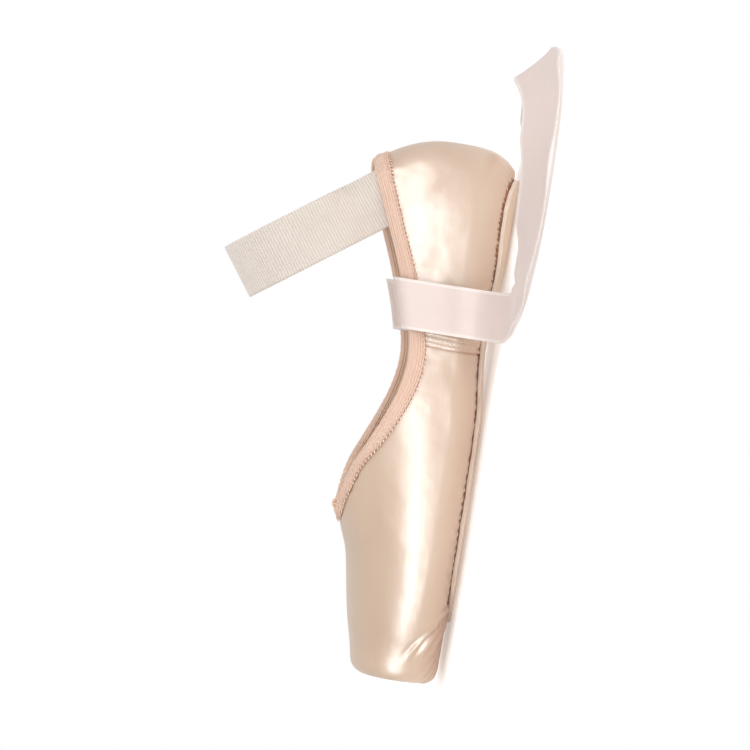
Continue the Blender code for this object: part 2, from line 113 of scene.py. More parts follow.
camera = {
    "distance": 1.75,
    "elevation": math.radians(3.0),
    "lean": math.radians(9.0),  # how far the heel leans right of the toe in the picture
    "frameWidth": 0.335,
    "aim": (0.0, -0.012, 0.050),
    "sensor": 36.0,  # mm
    "clip": (0.05, 60.0),
}


def makeCamera():
    data = bpy.data.cameras.new("camera")
    data.sensor_width = camera["sensor"]
    data.lens = camera["sensor"] * camera["distance"] / camera["frameWidth"]
    data.clip_start, data.clip_end = camera["clip"]
    tilt, lean = camera["elevation"], camera["lean"]
    back = Vector((-math.cos(tilt), 0.0, math.sin(tilt)))
    level = Vector((0.0, -1.0, 0.0))
    upward = Vector((math.sin(tilt), 0.0, math.cos(tilt)))
    right = math.sin(lean) * level - math.cos(lean) * upward
    up = math.cos(lean) * level + math.sin(lean) * upward
    seen = placed("camera", data)
    stand(seen, right, up, back, Vector(camera["aim"]) + camera["distance"] * back)
    bpy.context.scene.camera = seen
    print("camera made")


# The last's sizes, as in the part's source

last = {
    "shoeLength": 0.240,
    "vampLength": 0.072,
    "heelCapLength": 0.034,
    "heelOverhang": 0.012,
    "collarLean": 0.014,
    "ballWidth": 0.087,
    "waistWidth": 0.066,
    "heelWidth": 0.061,
    "platformWidth": 0.0435,
    "heelHeight": 0.066,
    "sideHeight": 0.0375,
    "throatHeight": 0.0572,
    "bellyHeight": 0.019,
    "platformBase": 0.0085,
    "platformHeight": 0.026,
    "platformRound": 0.0058,
    "archRise": 0.0033,
    "quarterWall": 0.0015,
    "boxWall": 0.003,
    "crownSquare": 2.2,
    "archStart": 0.20,
    "archEnd": 0.53,
    "upperBase": 0.0023,
    "boxGrowth": 0.4,  # share of the vamp in which the quarter's wall grows into the box's
    "tipTrim": 0.72,  # how much the sides follow the rounding of the platform's edge
    "toeCentre": 0.25,  # where the toe's planes meet, as a share of the vamp
    "heelBulge": 0.45,  # share of the heel's height at which it stands out most
}
sole = {
    "length": 0.200,
    "ballWidth": 0.056,
    "waistWidth": 0.033,
    "heelWidth": 0.043,
    "edgeThickness": 0.0024,
    "lap": 0.006,
    "heelRound": 0.11,  # share of its length in which an end is rounded
    "toeRound": 0.143,
    "endGap": 0.0012,  # share of its length left out at each end, where its width is nil
}
shoeLength = last["shoeLength"]
midLength = shoeLength / 2
throat = shoeLength - last["vampLength"]
bulge = last["heelBulge"] * last["heelHeight"]
soleStart = last["heelOverhang"]
soleEnd = soleStart + sole["length"]
curveSamples = 1200
halvings = 32  # in a search for an edge

# Half width: share of the shoe length, the width it follows, share of it
widthRows = (
    (0.000, "heelWidth", 0.98),
    (0.140, "heelWidth", 1.00),
    (0.250, "heelWidth", 1.01),
    (0.400, "waistWidth", 1.00),
    (0.480, "waistWidth", 1.12),
    (0.550, "ballWidth", 0.915),
    (0.620, "ballWidth", 0.975),
    (0.700, "ballWidth", 1.00),
    (0.750, "ballWidth", 0.998),
    (0.820, "ballWidth", 0.940),
    (0.900, "ballWidth", 0.795),
    (0.960, "platformWidth", 1.29),
    (1.000, "platformWidth", 1.18),
)

# Collar line: share of the throat distance, height followed, share of it
collarRows = (
    (0.000, "heelHeight", 1.000),
    (0.090, "heelHeight", 0.980),
    (0.230, "heelHeight", 0.850),
    (0.360, "heelHeight", 0.715),
    (0.475, "sideHeight", 1.085),
    (0.577, "sideHeight", 1.000),
    (0.667, "sideHeight", 1.053),
    (0.744, "sideHeight", 1.173),
    (0.810, "throatHeight", 0.853),
    (0.880, "throatHeight", 0.940),
    (0.940, "throatHeight", 0.982),
    (1.000, "throatHeight", 1.000),
    (1.070, "throatHeight", 1.012),
)

# Crown of the last behind the throat: share of the throat distance, of its height
instepRows = (
    (0.000, 1.50),
    (0.240, 1.43),
    (0.580, 1.46),
    (0.690, 1.33),
    (0.780, 1.13),
    (0.860, 1.052),
    (0.940, 1.020),
)

# Top of the vamp: share of its length, share of the drop from throat to platform
vampRows = (
    (0.00, 1.00),
    (0.11, 0.87),
    (0.25, 0.64),
    (0.39, 0.52),
    (0.54, 0.41),
    (0.68, 0.29),
    (0.84, 0.12),
    (1.00, 0.00),
)

# Widest line: share of the shoe length, of the belly height, squareness below it
bellyRows = (
    (0.00, 1.15, 2.3),
    (0.25, 1.10, 2.3),
    (0.42, 0.95, 2.2),
    (0.70, 0.92, 2.6),
    (0.88, 0.98, 2.5),
    (1.00, 1.12, 2.3),
)

# Half width of the outsole: share of its length, the width it follows, share of it
soleRows = (
    (0.00, "heelWidth", 1.00),
    (0.12, "heelWidth", 1.00),
    (0.25, "heelWidth", 0.89),
    (0.42, "waistWidth", 1.00),
    (0.58, "ballWidth", 0.80),
    (0.76, "ballWidth", 1.00),
    (0.90, "ballWidth", 0.92),
    (1.00, "ballWidth", 0.80),
)


def hermite(u, first, end, leaving, arriving):
    return (
        (1 + 2 * u) * (1 - u) ** 2 * first
        + u * (1 - u) ** 2 * leaving
        + u ** 2 * (3 - 2 * u) * end
        + u ** 2 * (u - 1) * arriving
    )


def curveThrough(rows):
    # Smooth curve through (position, value) rows, as fine samples
    at, value = np.array(rows, dtype=float).T
    run = np.diff(at)
    slope = np.diff(value) / run
    tangent = np.concatenate([
        slope[:1],
        (slope[:-1] * run[1:] + slope[1:] * run[:-1]) / (run[1:] + run[:-1]),
        slope[-1:],
    ])
    fine = np.linspace(at[0], at[-1], curveSamples)
    k = np.clip(np.searchsorted(at, fine, side="right") - 1, 0, len(run) - 1)
    share = (fine - at[k]) / run[k]
    return fine, hermite(share, value[k], value[k + 1], run[k] * tangent[k], run[k] * tangent[k + 1])


def ridgeRows():
    rows = [(a * throat, b * last["throatHeight"]) for a, b in instepRows]
    toeTop = last["platformBase"] + last["platformHeight"] + last["platformRound"]
    for share, drop in vampRows:
        rows.append((
            throat + share * last["vampLength"],
            toeTop + drop * (last["throatHeight"] - toeTop),
        ))
    return rows


widthCurve = curveThrough([(a * shoeLength, last[b] * c / 2) for a, b, c in widthRows])
collarCurve = curveThrough([(a * throat, last[b] * c) for a, b, c in collarRows])
ridgeCurve = curveThrough(ridgeRows())
bellyCurve = curveThrough([(a * shoeLength, b * last["bellyHeight"]) for a, b, c in bellyRows])
squareCurve = curveThrough([(a * shoeLength, c) for a, b, c in bellyRows])
soleCurve = curveThrough([
    (soleStart + a * sole["length"], sole[b] * c / 2) for a, b, c in soleRows
])


def read(curve, at):
    return np.interp(at, curve[0], curve[1])


def wallAt(distance):
    # Thin quarters grow into the stiff box
    share = ramp(distance, throat, last["boxGrowth"] * last["vampLength"])
    return last["quarterWall"] + (last["boxWall"] - last["quarterWall"]) * share


def archAt(distance):
    first, end = last["archStart"], last["archEnd"]
    share = (distance / shoeLength - first) / (end - first)
    return last["archRise"] * np.sin(math.pi * np.clip(share, 0, 1)) ** 2


def heelBack(height):
    below = np.clip((bulge - height) / bulge, 0, 1)
    above = np.clip((height - bulge) / (last["heelHeight"] - bulge), 0, 2)
    return last["heelOverhang"] * below ** 4 + last["collarLean"] * above ** last["crownSquare"]


def sectionAt(distance, walls, inset):
    inset = inset + walls * wallAt(distance)
    tip = shoeLength - inset
    end = np.clip((distance - tip) / last["platformRound"] + 1, 0, 1)
    trim = last["platformRound"] * (1 - np.sqrt(1 - end ** 2))
    half = read(widthCurve, distance) - inset - last["tipTrim"] * trim
    ridge = read(ridgeCurve, distance) - inset - trim
    base = last["upperBase"] + archAt(distance) + inset + trim
    return half, ridge, base, read(bellyCurve, distance), tip


def heelShare(distance, height, inset):
    back = heelBack(height) + inset
    share = (last["heelCapLength"] - distance) / (last["heelCapLength"] - back)
    power = last["crownSquare"]
    return (1 - np.clip(share, 0, 1) ** power) ** (1 / power), back


def ovalAt(distance, height, walls, inset):
    # Half width at the widest line, share of the reach above or below it, squareness there
    half, ridge, base, belly, tip = sectionAt(distance, walls, inset)
    rounding, back = heelShare(distance, height, inset + walls * last["quarterWall"])
    above = height > belly
    share = np.abs(height - belly) / np.where(above, ridge - belly, belly - base)
    power = np.where(above, last["crownSquare"], read(squareCurve, distance))
    return half * rounding, share, power, back, tip


def isOutside(x, distance, height, walls, inset):
    half, share, power, back, tip = ovalAt(distance, height, walls, inset)
    level = (np.abs(x) / np.maximum(half, 1e-6)) ** power + share ** power
    return (level > 1) | (distance < back) | (distance > tip)


def halfWidth(distance, height, walls=0, inset=0):
    half, share, power, _, _ = ovalAt(distance, height, walls, inset)
    return half * (1 - np.clip(share, 0, 1) ** power) ** (1 / power)


def findEdge(low, high, isOut):
    for _ in range(halvings):
        middle = (low + high) / 2
        out = isOut(middle)
        high = np.where(out, middle, high)
        low = np.where(out, low, middle)
    return (low + high) / 2


def underside(x, distance, walls=0, inset=0):
    # Height of the last's lower face: the search runs down from its widest line
    belly = read(bellyCurve, distance) * np.ones_like(x)
    drop = findEdge(np.zeros_like(belly), belly + last["bellyHeight"], lambda down: isOutside(
        x, distance, belly - down, walls, inset
    ))
    return belly - drop


def soleHalf(distance, inset=0):
    heelRound, toeRound = sole["heelRound"] * sole["length"], sole["toeRound"] * sole["length"]
    heel = (soleStart + heelRound - distance) / (heelRound - inset)
    toe = (distance - soleEnd + toeRound) / (toeRound - inset)
    end = np.clip(np.maximum(heel, toe), 0, 1)
    power = last["crownSquare"]
    return (read(soleCurve, distance) - inset) * (1 - end ** power) ** (1 / power)


def sideStarts(first, end, count):
    # Closer together at the side seam, whose ditch is narrower than a column elsewhere
    fine = np.linspace(first, end, upper["startSamples"])
    crowd = 1 + sideSeam["crowd"] * bell(fine - sideSeam["distance"], *sideSeam["crowdAt"])
    run = np.cumsum(crowd) - crowd[0]
    return np.interp(np.linspace(0, run[-1], count, endpoint=False), run, fine)


def planRays(toe, side, heel, crowd):
    # Vertical planes round the shoe: start on the centre line, and plan direction
    toeCentre = throat - last["toeCentre"] * last["vampLength"]
    rays = []
    for i in range(toe):
        angle = math.pi / 2 * (i / toe) ** crowd
        rays.append((toeCentre, math.sin(angle), math.cos(angle)))
    for start in sideStarts(toeCentre, last["heelCapLength"], side):
        rays.append((start, 1.0, 0.0))
    for i in range(heel + 1):
        angle = math.pi / 2 * (1 - i / heel)
        rays.append((last["heelCapLength"], math.sin(angle), -math.cos(angle)))
    mirrored = [(start, -x, y) for start, x, y in reversed(rays[1:-1])]
    return np.array(rays + mirrored)


def ringReach(rays):
    # Plan reach of the upper's lower edge, in under the outsole's outline
    start, x, y = rays.T

    def beyond(reach):
        along = start + reach * y
        ahead = along > soleEnd - sole["lap"]
        behind = along < soleStart + sole["lap"]
        return (reach * np.abs(x) > soleHalf(along, sole["lap"])) | ahead | behind

    return findEdge(np.zeros(len(rays)), np.full(len(rays), shoeLength), beyond)


def sideCurves(rays, walls=0, inset=0):
    # The last's surface in each plane, from under the shoe up to and over the top
    start = rays[:, :1]
    angle = np.radians(np.linspace(*upper["rayAngles"], upper["raySamples"]))[None, :]
    across = rays[:, 1:2] * np.cos(angle)
    along = rays[:, 2:3] * np.cos(angle)
    upward = np.sin(angle) * np.ones_like(start)
    belly = last["bellyHeight"]

    def beyond(reach):
        return isOutside(reach * across, start + reach * along, belly + reach * upward, walls, inset)

    zero = np.zeros_like(across)
    reach = findEdge(zero, zero + shoeLength, beyond)
    return np.stack([reach * across, start + reach * along, belly + reach * upward], axis=2)


def cutCurve(curve, level):
    after = int(np.argmax(level > 0))
    share = level[after - 1] / (level[after - 1] - level[after])
    return after, curve[after - 1] + share * (curve[after] - curve[after - 1])


def collarEdges(rays):
    edges = []
    for curve in sideCurves(rays):
        above = curve[:, 2] - read(collarCurve, curve[:, 1])
        above = np.where(curve[:, 2] < last["bellyHeight"], -1, above)
        edges.append(cutCurve(curve, above)[1])
    return edges


def wallCurve(curve, ray, ring, edge):
    # Part of a side curve from the lower edge to the point nearest the collar's edge
    reach = np.hypot(curve[:, 0], curve[:, 1] - ray[0])
    first, lower = cutCurve(curve, reach - ring)
    step = curve[1:] - curve[:-1]
    share = np.sum((edge - curve[:-1]) * step, axis=1) / np.sum(step * step, axis=1)
    nearest = curve[:-1] + np.clip(share, 0, 1)[:, None] * step
    end = int(np.argmin(np.linalg.norm(nearest - edge, axis=1)))
    return np.vstack([lower, curve[first:end + 1], nearest[end]])


def lengthsAlong(curve):
    step = np.linalg.norm(np.diff(curve, axis=0), axis=1)
    return np.concatenate([[0], np.cumsum(step)])


def pointsAt(curve, run, at):
    # Points of a curve where its run reaches the given values
    return np.stack([np.interp(at, run, curve[:, k]) for k in range(curve.shape[1])], axis=-1)


def resample(curve, count, turnWeight=0.35):
    # Rows along a curve, closer together where it turns
    step = np.diff(curve, axis=0)
    length = np.linalg.norm(step, axis=1) + 1e-9
    direction = step / length[:, None]
    turn = np.arccos(np.clip(np.sum(direction[1:] * direction[:-1], axis=1), -1, 1))
    weight = length + last["bellyHeight"] * turnWeight * np.concatenate([[0], turn])
    run = np.concatenate([[0], np.cumsum(weight)])
    return pointsAt(curve, run, np.linspace(0, run[-1], count))


def belowEdge(curve, depth):
    # Point below a wall curve's upper end, or straight beyond it for a minus depth
    if depth < 0:
        direction = curve[-1] - curve[-3]
        return curve[-1] - depth * direction / np.linalg.norm(direction)
    run = lengthsAlong(curve)
    return pointsAt(curve, run, run[-1] - depth)


def rowLengths(grid, fromLast=False):
    # Distance of each point from its column's first row, or from its last
    if fromLast:
        return rowLengths(grid[:, ::-1])[:, ::-1]
    step = np.diff(grid, axis=1, prepend=grid[:, :1])
    return np.cumsum(np.linalg.norm(step, axis=2), axis=1)


def gridFaces(columns, rows, closed):
    # Quads between columns of points whose rows close on themselves
    faces = []
    for i in range(columns if closed else columns - 1):
        near = i * rows
        far = (i + 1) % columns * rows
        for j in range(rows):
            after = (j + 1) % rows
            faces.append((near + j, near + after, far + after, far + j))
    return faces


def tubeFaces(columns, rows):
    # A tube with a polygon across each end
    ends = [tuple(reversed(range(rows))), tuple(range((columns - 1) * rows, columns * rows))]
    return gridFaces(columns, rows, closed=False) + ends


def bandFaces(columns, wide):
    # A strip of two skins with quads across each end
    rows = 2 * wide
    faces = gridFaces(columns, rows, closed=False)
    for first, turn in ((0, 1), ((columns - 1) * rows, -1)):
        for j in range(wide - 1):
            face = (first + j, first + j + 1, first + rows - 2 - j, first + rows - 1 - j)
            faces.append(face[::turn])
    return faces


def bandCloth(at, shares, width):
    # UV of a strip of two skins: along and across, in metres
    u = np.concatenate([at, at[:, ::-1]], axis=1)
    v = np.concatenate([shares, shares[::-1]])[None, :] * width + np.zeros_like(u)
    return np.stack([u, v], axis=2)


def store(mesh, label, values):
    # One number or one vector for each point
    values = np.asarray(values, dtype=float).ravel()
    isVector = len(values) == 3 * len(mesh.vertices)
    kind, field = ("FLOAT_VECTOR", "vector") if isVector else ("FLOAT", "value")
    mesh.attributes.new(label, kind, "POINT").data.foreach_set(field, values)


def makePiece(name, points, faces, materials, looks=None, cloth=None, **stored):
    # A closed mesh in the shoe's frame: looks gives each face its material and cloth the
    # UV in metres of each point. Stored values are thread, the direction that the cloth's floats
    # run, and shade, painted shade in folds, ditches, under the binding and towards the outsole.
    points = np.array(points, dtype=float).reshape(-1, 3)
    points[:, 1] -= midLength
    mesh = bpy.data.meshes.new(name)
    mesh.from_pydata(points.tolist(), [], faces)
    mesh.validate()
    mesh.calc_loop_triangles()
    corners = np.empty(len(mesh.loop_triangles) * 3, dtype=np.int32)
    mesh.loop_triangles.foreach_get("vertices", corners)
    a, b, c = points[corners.reshape(-1, 3)].transpose(1, 0, 2)
    if np.sum(a * np.cross(b, c)) < 0:
        mesh.flip_normals()
    mesh.shade_smooth()
    for material in materials:
        mesh.materials.append(material)
    if looks is not None:
        mesh.polygons.foreach_set("material_index", np.asarray(looks, dtype=np.int32))
    if cloth is not None:
        index = np.empty(len(mesh.loops), dtype=np.int32)
        mesh.loops.foreach_get("vertex_index", index)
        layer = mesh.uv_layers.new(name="cloth")
        layer.data.foreach_set("uv", np.asarray(cloth, dtype=float).reshape(-1, 2)[index].ravel())
    for label, values in stored.items():
        store(mesh, label, values)
    return placed(name, mesh)


def settle(piece, slot, *nodes):
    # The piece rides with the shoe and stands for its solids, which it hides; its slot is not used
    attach(piece, "root")
    if nodes:
        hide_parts(*nodes)
    print(piece.name, "made,", len(piece.data.polygons), "faces")


# Ribbons: satin ribbon sewn inside the collar, over it and down to the floor

ribbon = {
    "width": 0.022,
    "station": 0.075,
    "sewn": 0.016,
    "thickness": 0.0005,
    "shownThickness": 0.00034,
    "cut": 0.011,  # how far the end's diagonal cut runs back
    "steps": 10,
    "across": 25,
    "exit": (0.030, 0.046),  # from the centre plane and the floor
    "rippleFrom": (0.085, 0.05),  # where along it the ripples start, and grow full
    "rippleHeight": 0.0006,
    "rippleLengths": (0.043, 0.0231),
    "bead": (0.0005, 0.0004),  # woven edge: how far in its middle lies, its half width
    "beadSwell": 0.75,
    "pathStep": 6,
}
# Lines that run the ribbon's length, as shares of its width
ribbonLines = np.array([-0.5, -0.17, 0.17, 0.5])
# Where it hangs: thicknesses out from the quarter, share of the collar's height
ribbonDrop = ((0.4, 0.62), (0.7, 0.40), (1.9, 0.22), (5.0, 0.09), (10.0, 0.02))
binding = {
    "width": 0.0065,
    "thickness": 0.0009,
    "clearance": 0.0003,
    "tuck": 0.00008,
}

# On the floor: distance out from the centre plane, y, lean of the width in degrees
leftRibbonRoute = (
    (0.062, -0.0455, 0),
    (0.080, -0.0470, -2),
    (0.099, -0.0500, -4),
    (0.118, -0.0555, -8),
    (0.135, -0.0645, -14),
    (0.148, -0.0785, -20),
    (0.154, -0.0960, -26),
    (0.153, -0.1145, -30),
    (0.145, -0.1310, -34),
    (0.131, -0.1435, -40),
    (0.113, -0.1510, -46),
    (0.094, -0.1530, -42),
    (0.075, -0.1505, -26),
    (0.056, -0.1460, -10),
    (0.037, -0.1425, 0),
    (0.017, -0.1415, 0),
    (-0.003, -0.1430, 3),
    (-0.023, -0.1460, 3),
    (-0.042, -0.1490, 0),
)
rightRibbonRoute = (
    (0.062, -0.0445, 0),
    (0.079, -0.041, 4),
    (0.094, -0.031, 12),
    (0.104, -0.015, 24),
    (0.107, 0.004, 36),
    (0.103, 0.023, 40),
    (0.095, 0.041, 26),
    (0.090, 0.060, 6),
    (0.094, 0.078, -12),
    (0.106, 0.092, -26),
    (0.124, 0.099, -35),
    (0.143, 0.096, -36),
    (0.158, 0.084, -30),
    (0.166, 0.067, -19),
    (0.169, 0.048, -8),
    (0.172, 0.029, 0),
    (0.179, 0.011, 4),
    (0.189, -0.005, 3),
    (0.201, -0.019, 0),
)


def smoothPath(points, steps):
    before = np.concatenate([2 * points[:1] - points[1:2], points[:-1]])
    after = np.concatenate([points[1:], 2 * points[-1:] - points[-2:-1]])
    tangent = ((after - before) / 2)[:, None]
    u = np.arange(steps).reshape(1, -1, *[1] * (points.ndim - 1)) / steps
    path = hermite(u, points[:-1, None], points[1:, None], tangent[:-1], tangent[1:])
    return np.concatenate([path.reshape(-1, *points.shape[1:]), points[-1:]])


def hangingRows(across):
    # Up inside the collar, over the binding and down the quarter
    station = ribbon["station"] + across
    crown = read(collarCurve, station)
    over = 3 * binding["clearance"] + binding["thickness"] + ribbon["thickness"] / 2
    rows = []
    for depth in (1.0, 0.7, 0.4, 0.1):
        height = crown - depth * ribbon["sewn"]
        rows.append((halfWidth(station, height, 1, over), height))
    inside = rows[-1][0]
    outside = halfWidth(station, crown, 0, -over)
    rows.append((inside + 0.08 * (outside - inside), crown + 1.3 * over))
    rows.append(((inside + outside) / 2, crown + 2.1 * over))
    rows.append((outside, crown + 1.2 * over))
    rows.append((outside + 0.9 * over, crown - 2 * over))
    belly = halfWidth(station, last["bellyHeight"], 0, -1.6 * over)
    for out, share in ribbonDrop:
        rows.append((belly + out * over, share * crown + ribbon["thickness"]))
    return [np.stack([x, station, height], axis=1) for x, height in rows]


def ribbonRows(side, route):
    across = ribbonLines * ribbon["width"]
    rows = hangingRows(across)
    for row in rows:
        row[:, 0] *= side
    centre = np.array([(side * out, y + midLength) for out, y, _ in route])
    heading = np.gradient(np.vstack([rows[-1][:, :2].mean(axis=0), centre]), axis=0)[1:]
    heading = unit(heading)
    for k, (_, _, degrees) in enumerate(route):
        lean = math.radians(degrees)
        level = side * math.cos(lean) * np.array([-heading[k, 1], heading[k, 0]])
        lift = ribbon["width"] / 2 * abs(math.sin(lean)) + 1.5 * ribbon["thickness"]
        row = np.empty((len(across), 3))
        row[:, :2] = centre[k] + across[:, None] * level
        row[:, 2] = lift + across * math.sin(lean)
        rows.append(row)
    return np.array(rows)


def acrossFour(rows, shares):
    # Points at shares of the width, on the curve through each row's four points
    out = np.zeros((len(rows), len(shares), 3))
    for k, line in enumerate(ribbonLines):
        others = np.delete(ribbonLines, k)
        weight = np.prod((shares[:, None] - others) / (line - others), axis=1)
        out += rows[:, k][:, None, :] * weight[None, :, None]
    return out


def makeRibbon(node, side, route, seed, materials):
    rows = smoothPath(ribbonRows(side, route), ribbon["steps"])
    shares = endSpaced(-0.5, 0.5, ribbon["across"])
    sheet = acrossFour(rows, shares)
    length = lengthsAlong(sheet.mean(axis=1))
    # The end is cut on the slant: each thread stops a little earlier than the last
    stops = length[-1] - ribbon["cut"] * (0.5 + side * shares)
    at = np.linspace(0, 1, len(rows))[:, None] * stops[None, :]
    cut = np.stack([pointsAt(sheet[:, j], length, at[:, j]) for j in range(len(shares))], axis=1)
    # Slack ripples along the free length, stronger at the edges, never below the floor
    long, short = (at * 2 * math.pi / ripple for ripple in ribbon["rippleLengths"])
    wave = np.sin(long + seed + 2.2 * shares) + 0.22 * np.sin(short + 2.1 * seed - 3.0 * shares)
    height = ribbon["rippleHeight"] * ramp(at, *ribbon["rippleFrom"]) * (0.35 + 2.6 * shares ** 2)
    cut[:, :, 2] += height * (1.3 + wave)
    normal = unit(np.cross(np.gradient(cut, axis=0), np.gradient(cut, axis=1)))
    rim = (0.5 - np.abs(shares)) * ribbon["width"]
    bead = 1 + ribbon["beadSwell"] * bell(rim, *ribbon["bead"])
    half = ribbon["shownThickness"] / 2 * bead * np.where(rim < 1e-5, 0.5, 1)
    front = cut + normal * half[None, :, None]
    back = cut - normal * half[None, :, None]
    strips = np.concatenate([front, back[:, ::-1]], axis=1)
    piece = makePiece(
        node + "_satin", strips, bandFaces(len(strips), len(shares)), materials,
        cloth=bandCloth(at, shares, ribbon["width"]), thread=unit(np.gradient(strips, axis=0)),
    )
    settle(piece, "ribbon_satin", node)
    middle = cut[:, len(shares) // 2].copy()
    middle[:, 1] -= midLength
    path = middle[::ribbon["pathStep"]]
    if (len(middle) - 1) % ribbon["pathStep"]:
        path = np.vstack([path, middle[-1]])


# Upper: satin outside, cotton inside, one wall

upper = {
    "toeColumns": 130,
    "sideColumns": 82,
    "heelColumns": 36,
    "crowd": 1.8,
    "startSamples": 600,
    "rayAngles": (-84, 86),
    "raySamples": 190,
    "outerRows": 112,
    "innerRows": 46,
    "rowTurn": 0.22,  # how much closer the rows lie where the satin turns
    "covered": 0.05,  # share of the rows that the outsole hides
    "pleatFlow": 0.14,  # how far the satin's floats turn sideways
}
sideSeam = {
    "distance": 0.0915,
    "crowd": 6.0,
    "crowdAt": (-0.002, 0.004),  # ahead of the seam, and how wide
    "wander": 0.0006,
    "wanderLength": 0.009,
    "sides": (0.010, 0.004),  # from how far out the seam shows, and its fade
    "depth": 0.00042,
    "width": 0.0004,
    "behind": (-0.0072, 0.0024),  # where the raised allowance starts, and its slope
    "raised": 0.00030,
    "swell": 0.00008,
    "rows": (0.0017, 0.0042),  # how far behind the ditch the stitches run
    "rowWidth": 0.0007,
    "rowDepth": 0.00024,
    "pucker": 0.0021,
    "roll": (0.0014, 0.0010),
    "rollHeight": 0.00016,
    # painted shade in the ditch: its strength and width
    "shade": (0.75, 0.00045),
}
backSeam = {"end": 0.02, "depth": 0.00036, "width": 0.0005, "roll": (0.0015, 0.0009), "height": 0.00016}
pleat = {
    "count": 15,  # to each side of the toe
    "depth": 0.00125,
    "centre": 0.016,  # how far behind the outsole's end the pleats under the toe meet
    "under": 0.32,  # share of the depth that those have
    "ring": (0.012, 0.006),
    "ahead": (-0.034, 0.014),
    "turned": (0.42, 0.2),
    "height": (0.0075, 0.005),
    "corner": (0.203, 0.0018),  # where the side pleats start, at the outsole's corner
    "angle": 9.5,  # degrees from one side pleat to the next
    "firstAngle": (-14, 8),
    "lastAngle": (33, 9),
    "reach": (0.025, 0.011),
    "sideTurn": (0.36, 0.2),
    "deepest": (0.014, 0.010),
    "flap": 1.3,
    "flapAngles": (31, 5, 40, 20),
    "flapReach": (0.004, 0.0095, 0.0085),
}
pucker = {
    "sole": 0.00022,  # height of the gathers under the outsole's edge
    "soleLow": (0.0045, 0.0075),
    "soleEnd": (0.19, 0.02),
    "soleLengths": (0.00062, 0.00039),
    "heelCentre": 0.034,
    "heelTurns": (38, 61),
    "collar": 0.00010,  # height of the gathers below the binding
    "collarReach": 0.0065,
    "collarLengths": (0.00112, 0.00083),
    "collarPatch": 0.0075,
}
# Painted shade in the satin's colour: under the binding's edge (strength, width), lower down towards
# the outsole (strength, start, length) and in the pleats' troughs (strength)
shading = {"paintedShadeUnderBinding": (0.36, 0.0011), "low": (0.22, 0.004, 0.014), "paintedShade": 0.34}

# Soft creases: side (-1 left, 1 right, 0 both), then start and end as distance
# and height above the floor in mm, then half width and depth in mm (a ridge is minus)
creases = (
    (0, 96, 24, 114, 11, 3.0, 0.30),
    (0, 104, 22, 130, 13, 2.8, -0.20),
    (0, 106, 13, 136, 8, 2.4, 0.26),
    (-1, 118, 19, 150, 22, 3.4, 0.12),
    (1, 116, 19, 146, 21, 3.4, 0.12),
    (0, 78, 30, 60, 16, 3.6, 0.26),
    (0, 68, 36, 47, 28, 3.2, 0.20),
    (-1, 84, 15, 66, 9, 2.2, -0.24),
    (1, 82, 17, 62, 10, 2.4, -0.24),
    (0, 26, 52, 12, 44, 3.2, 0.40),
    (0, 34, 47, 14, 33, 3.6, -0.24),
    (0, 22, 20, 44, 11, 2.8, 0.26),
    (0, 196, 22, 226, 18, 4.2, 0.08),
    (-1, 150, 12, 176, 10, 2.6, 0.20),
    (1, 146, 13, 170, 10, 2.4, 0.20),
)


def creaseDepth(points):
    # Soft troughs and ridges on the sides, in metres outwards
    x, distance, height = points[..., 0], points[..., 1] * 1000, points[..., 2] * 1000
    out = np.zeros_like(x)
    for side, d0, h0, d1, h1, width, depth in creases:
        length = math.hypot(d1 - d0, h1 - h0)
        along = ((distance - d0) * (d1 - d0) + (height - h0) * (h1 - h0)) / length
        # Each crease bows a little, as cloth does between two points that pull on it
        bow = 0.07 * length * np.sin(math.pi * np.clip(along / length, 0, 1))
        away = ((distance - d0) * (h1 - h0) - (height - h0) * (d1 - d0)) / length - bow
        fade = smooth(along / length * 3) * smooth((length - along) / length * 3)
        here = 1.0 if side == 0 else smooth(0.5 + side * x / 0.012)
        out -= depth / 1000 * fade * here * bell(away, 0, width)
    return out


def knifeFold(fan):
    # Laid pleats, one for each whole step: a steep rise and a slow fall, from -1 to 1
    share = fan - np.floor(fan)
    return 2 * smooth(share / 0.24) * (1 - smooth((share - 0.28) / 0.72)) - 1


def pleatDepthAt(points):
    # Satin gathered under the toe: pleats fan out ahead of the outsole's end, and on each
    # side a few long ones run from its corner along the platform's lower edge
    x, distance, height = points[..., 0], points[..., 1], points[..., 2]
    centre = soleEnd - pleat["centre"]
    turn = np.arctan2(x, distance - centre) / (math.pi / 2)
    under = knifeFold(pleat["count"] * turn + 0.35 * np.sin(7 * turn))
    under = under * ramp(np.hypot(x, distance - centre), *pleat["ring"])
    under = under * ramp(distance - soleEnd, *pleat["ahead"])
    under = under * (1 - ramp(np.abs(turn), *pleat["turned"])) * (1 - ramp(height, *pleat["height"]))
    ahead, above = distance - pleat["corner"][0], height - pleat["corner"][1]
    reach = np.hypot(ahead, above)
    angle = np.degrees(np.arctan2(above, ahead))
    fan = angle / pleat["angle"] + 0.16 * np.sin(reach / 0.0052 + 1) + 0.1 * np.sin(angle / 7)
    beside = knifeFold(fan) * ramp(angle, *pleat["firstAngle"]) * (1 - ramp(angle, *pleat["lastAngle"]))
    beside = beside * smooth(reach / 0.006) * (1 - ramp(reach, *pleat["reach"]))
    beside = beside * ramp(np.abs(turn), *pleat["sideTurn"])
    beside = beside * (0.6 + 0.6 * bell(reach, *pleat["deepest"]))
    # The first pleat is folded over into a small flap at the outsole's corner
    first, grows, last, fades = pleat["flapAngles"]
    near, end, tail = pleat["flapReach"]
    flap = ramp(angle, first, grows) * (1 - ramp(angle, last, fades))
    flap = flap * smooth(reach / near) * (1 - ramp(reach, end, tail))
    return pleat["depth"] * (pleat["under"] * under + beside + pleat["flap"] * flap)


def seamWander(height):
    return sideSeam["wander"] * np.sin(height / sideSeam["wanderLength"])


def seamGap(distance, height):
    # How far ahead of the side seam, whose line wanders a little
    return distance - sideSeam["distance"] - seamWander(height)


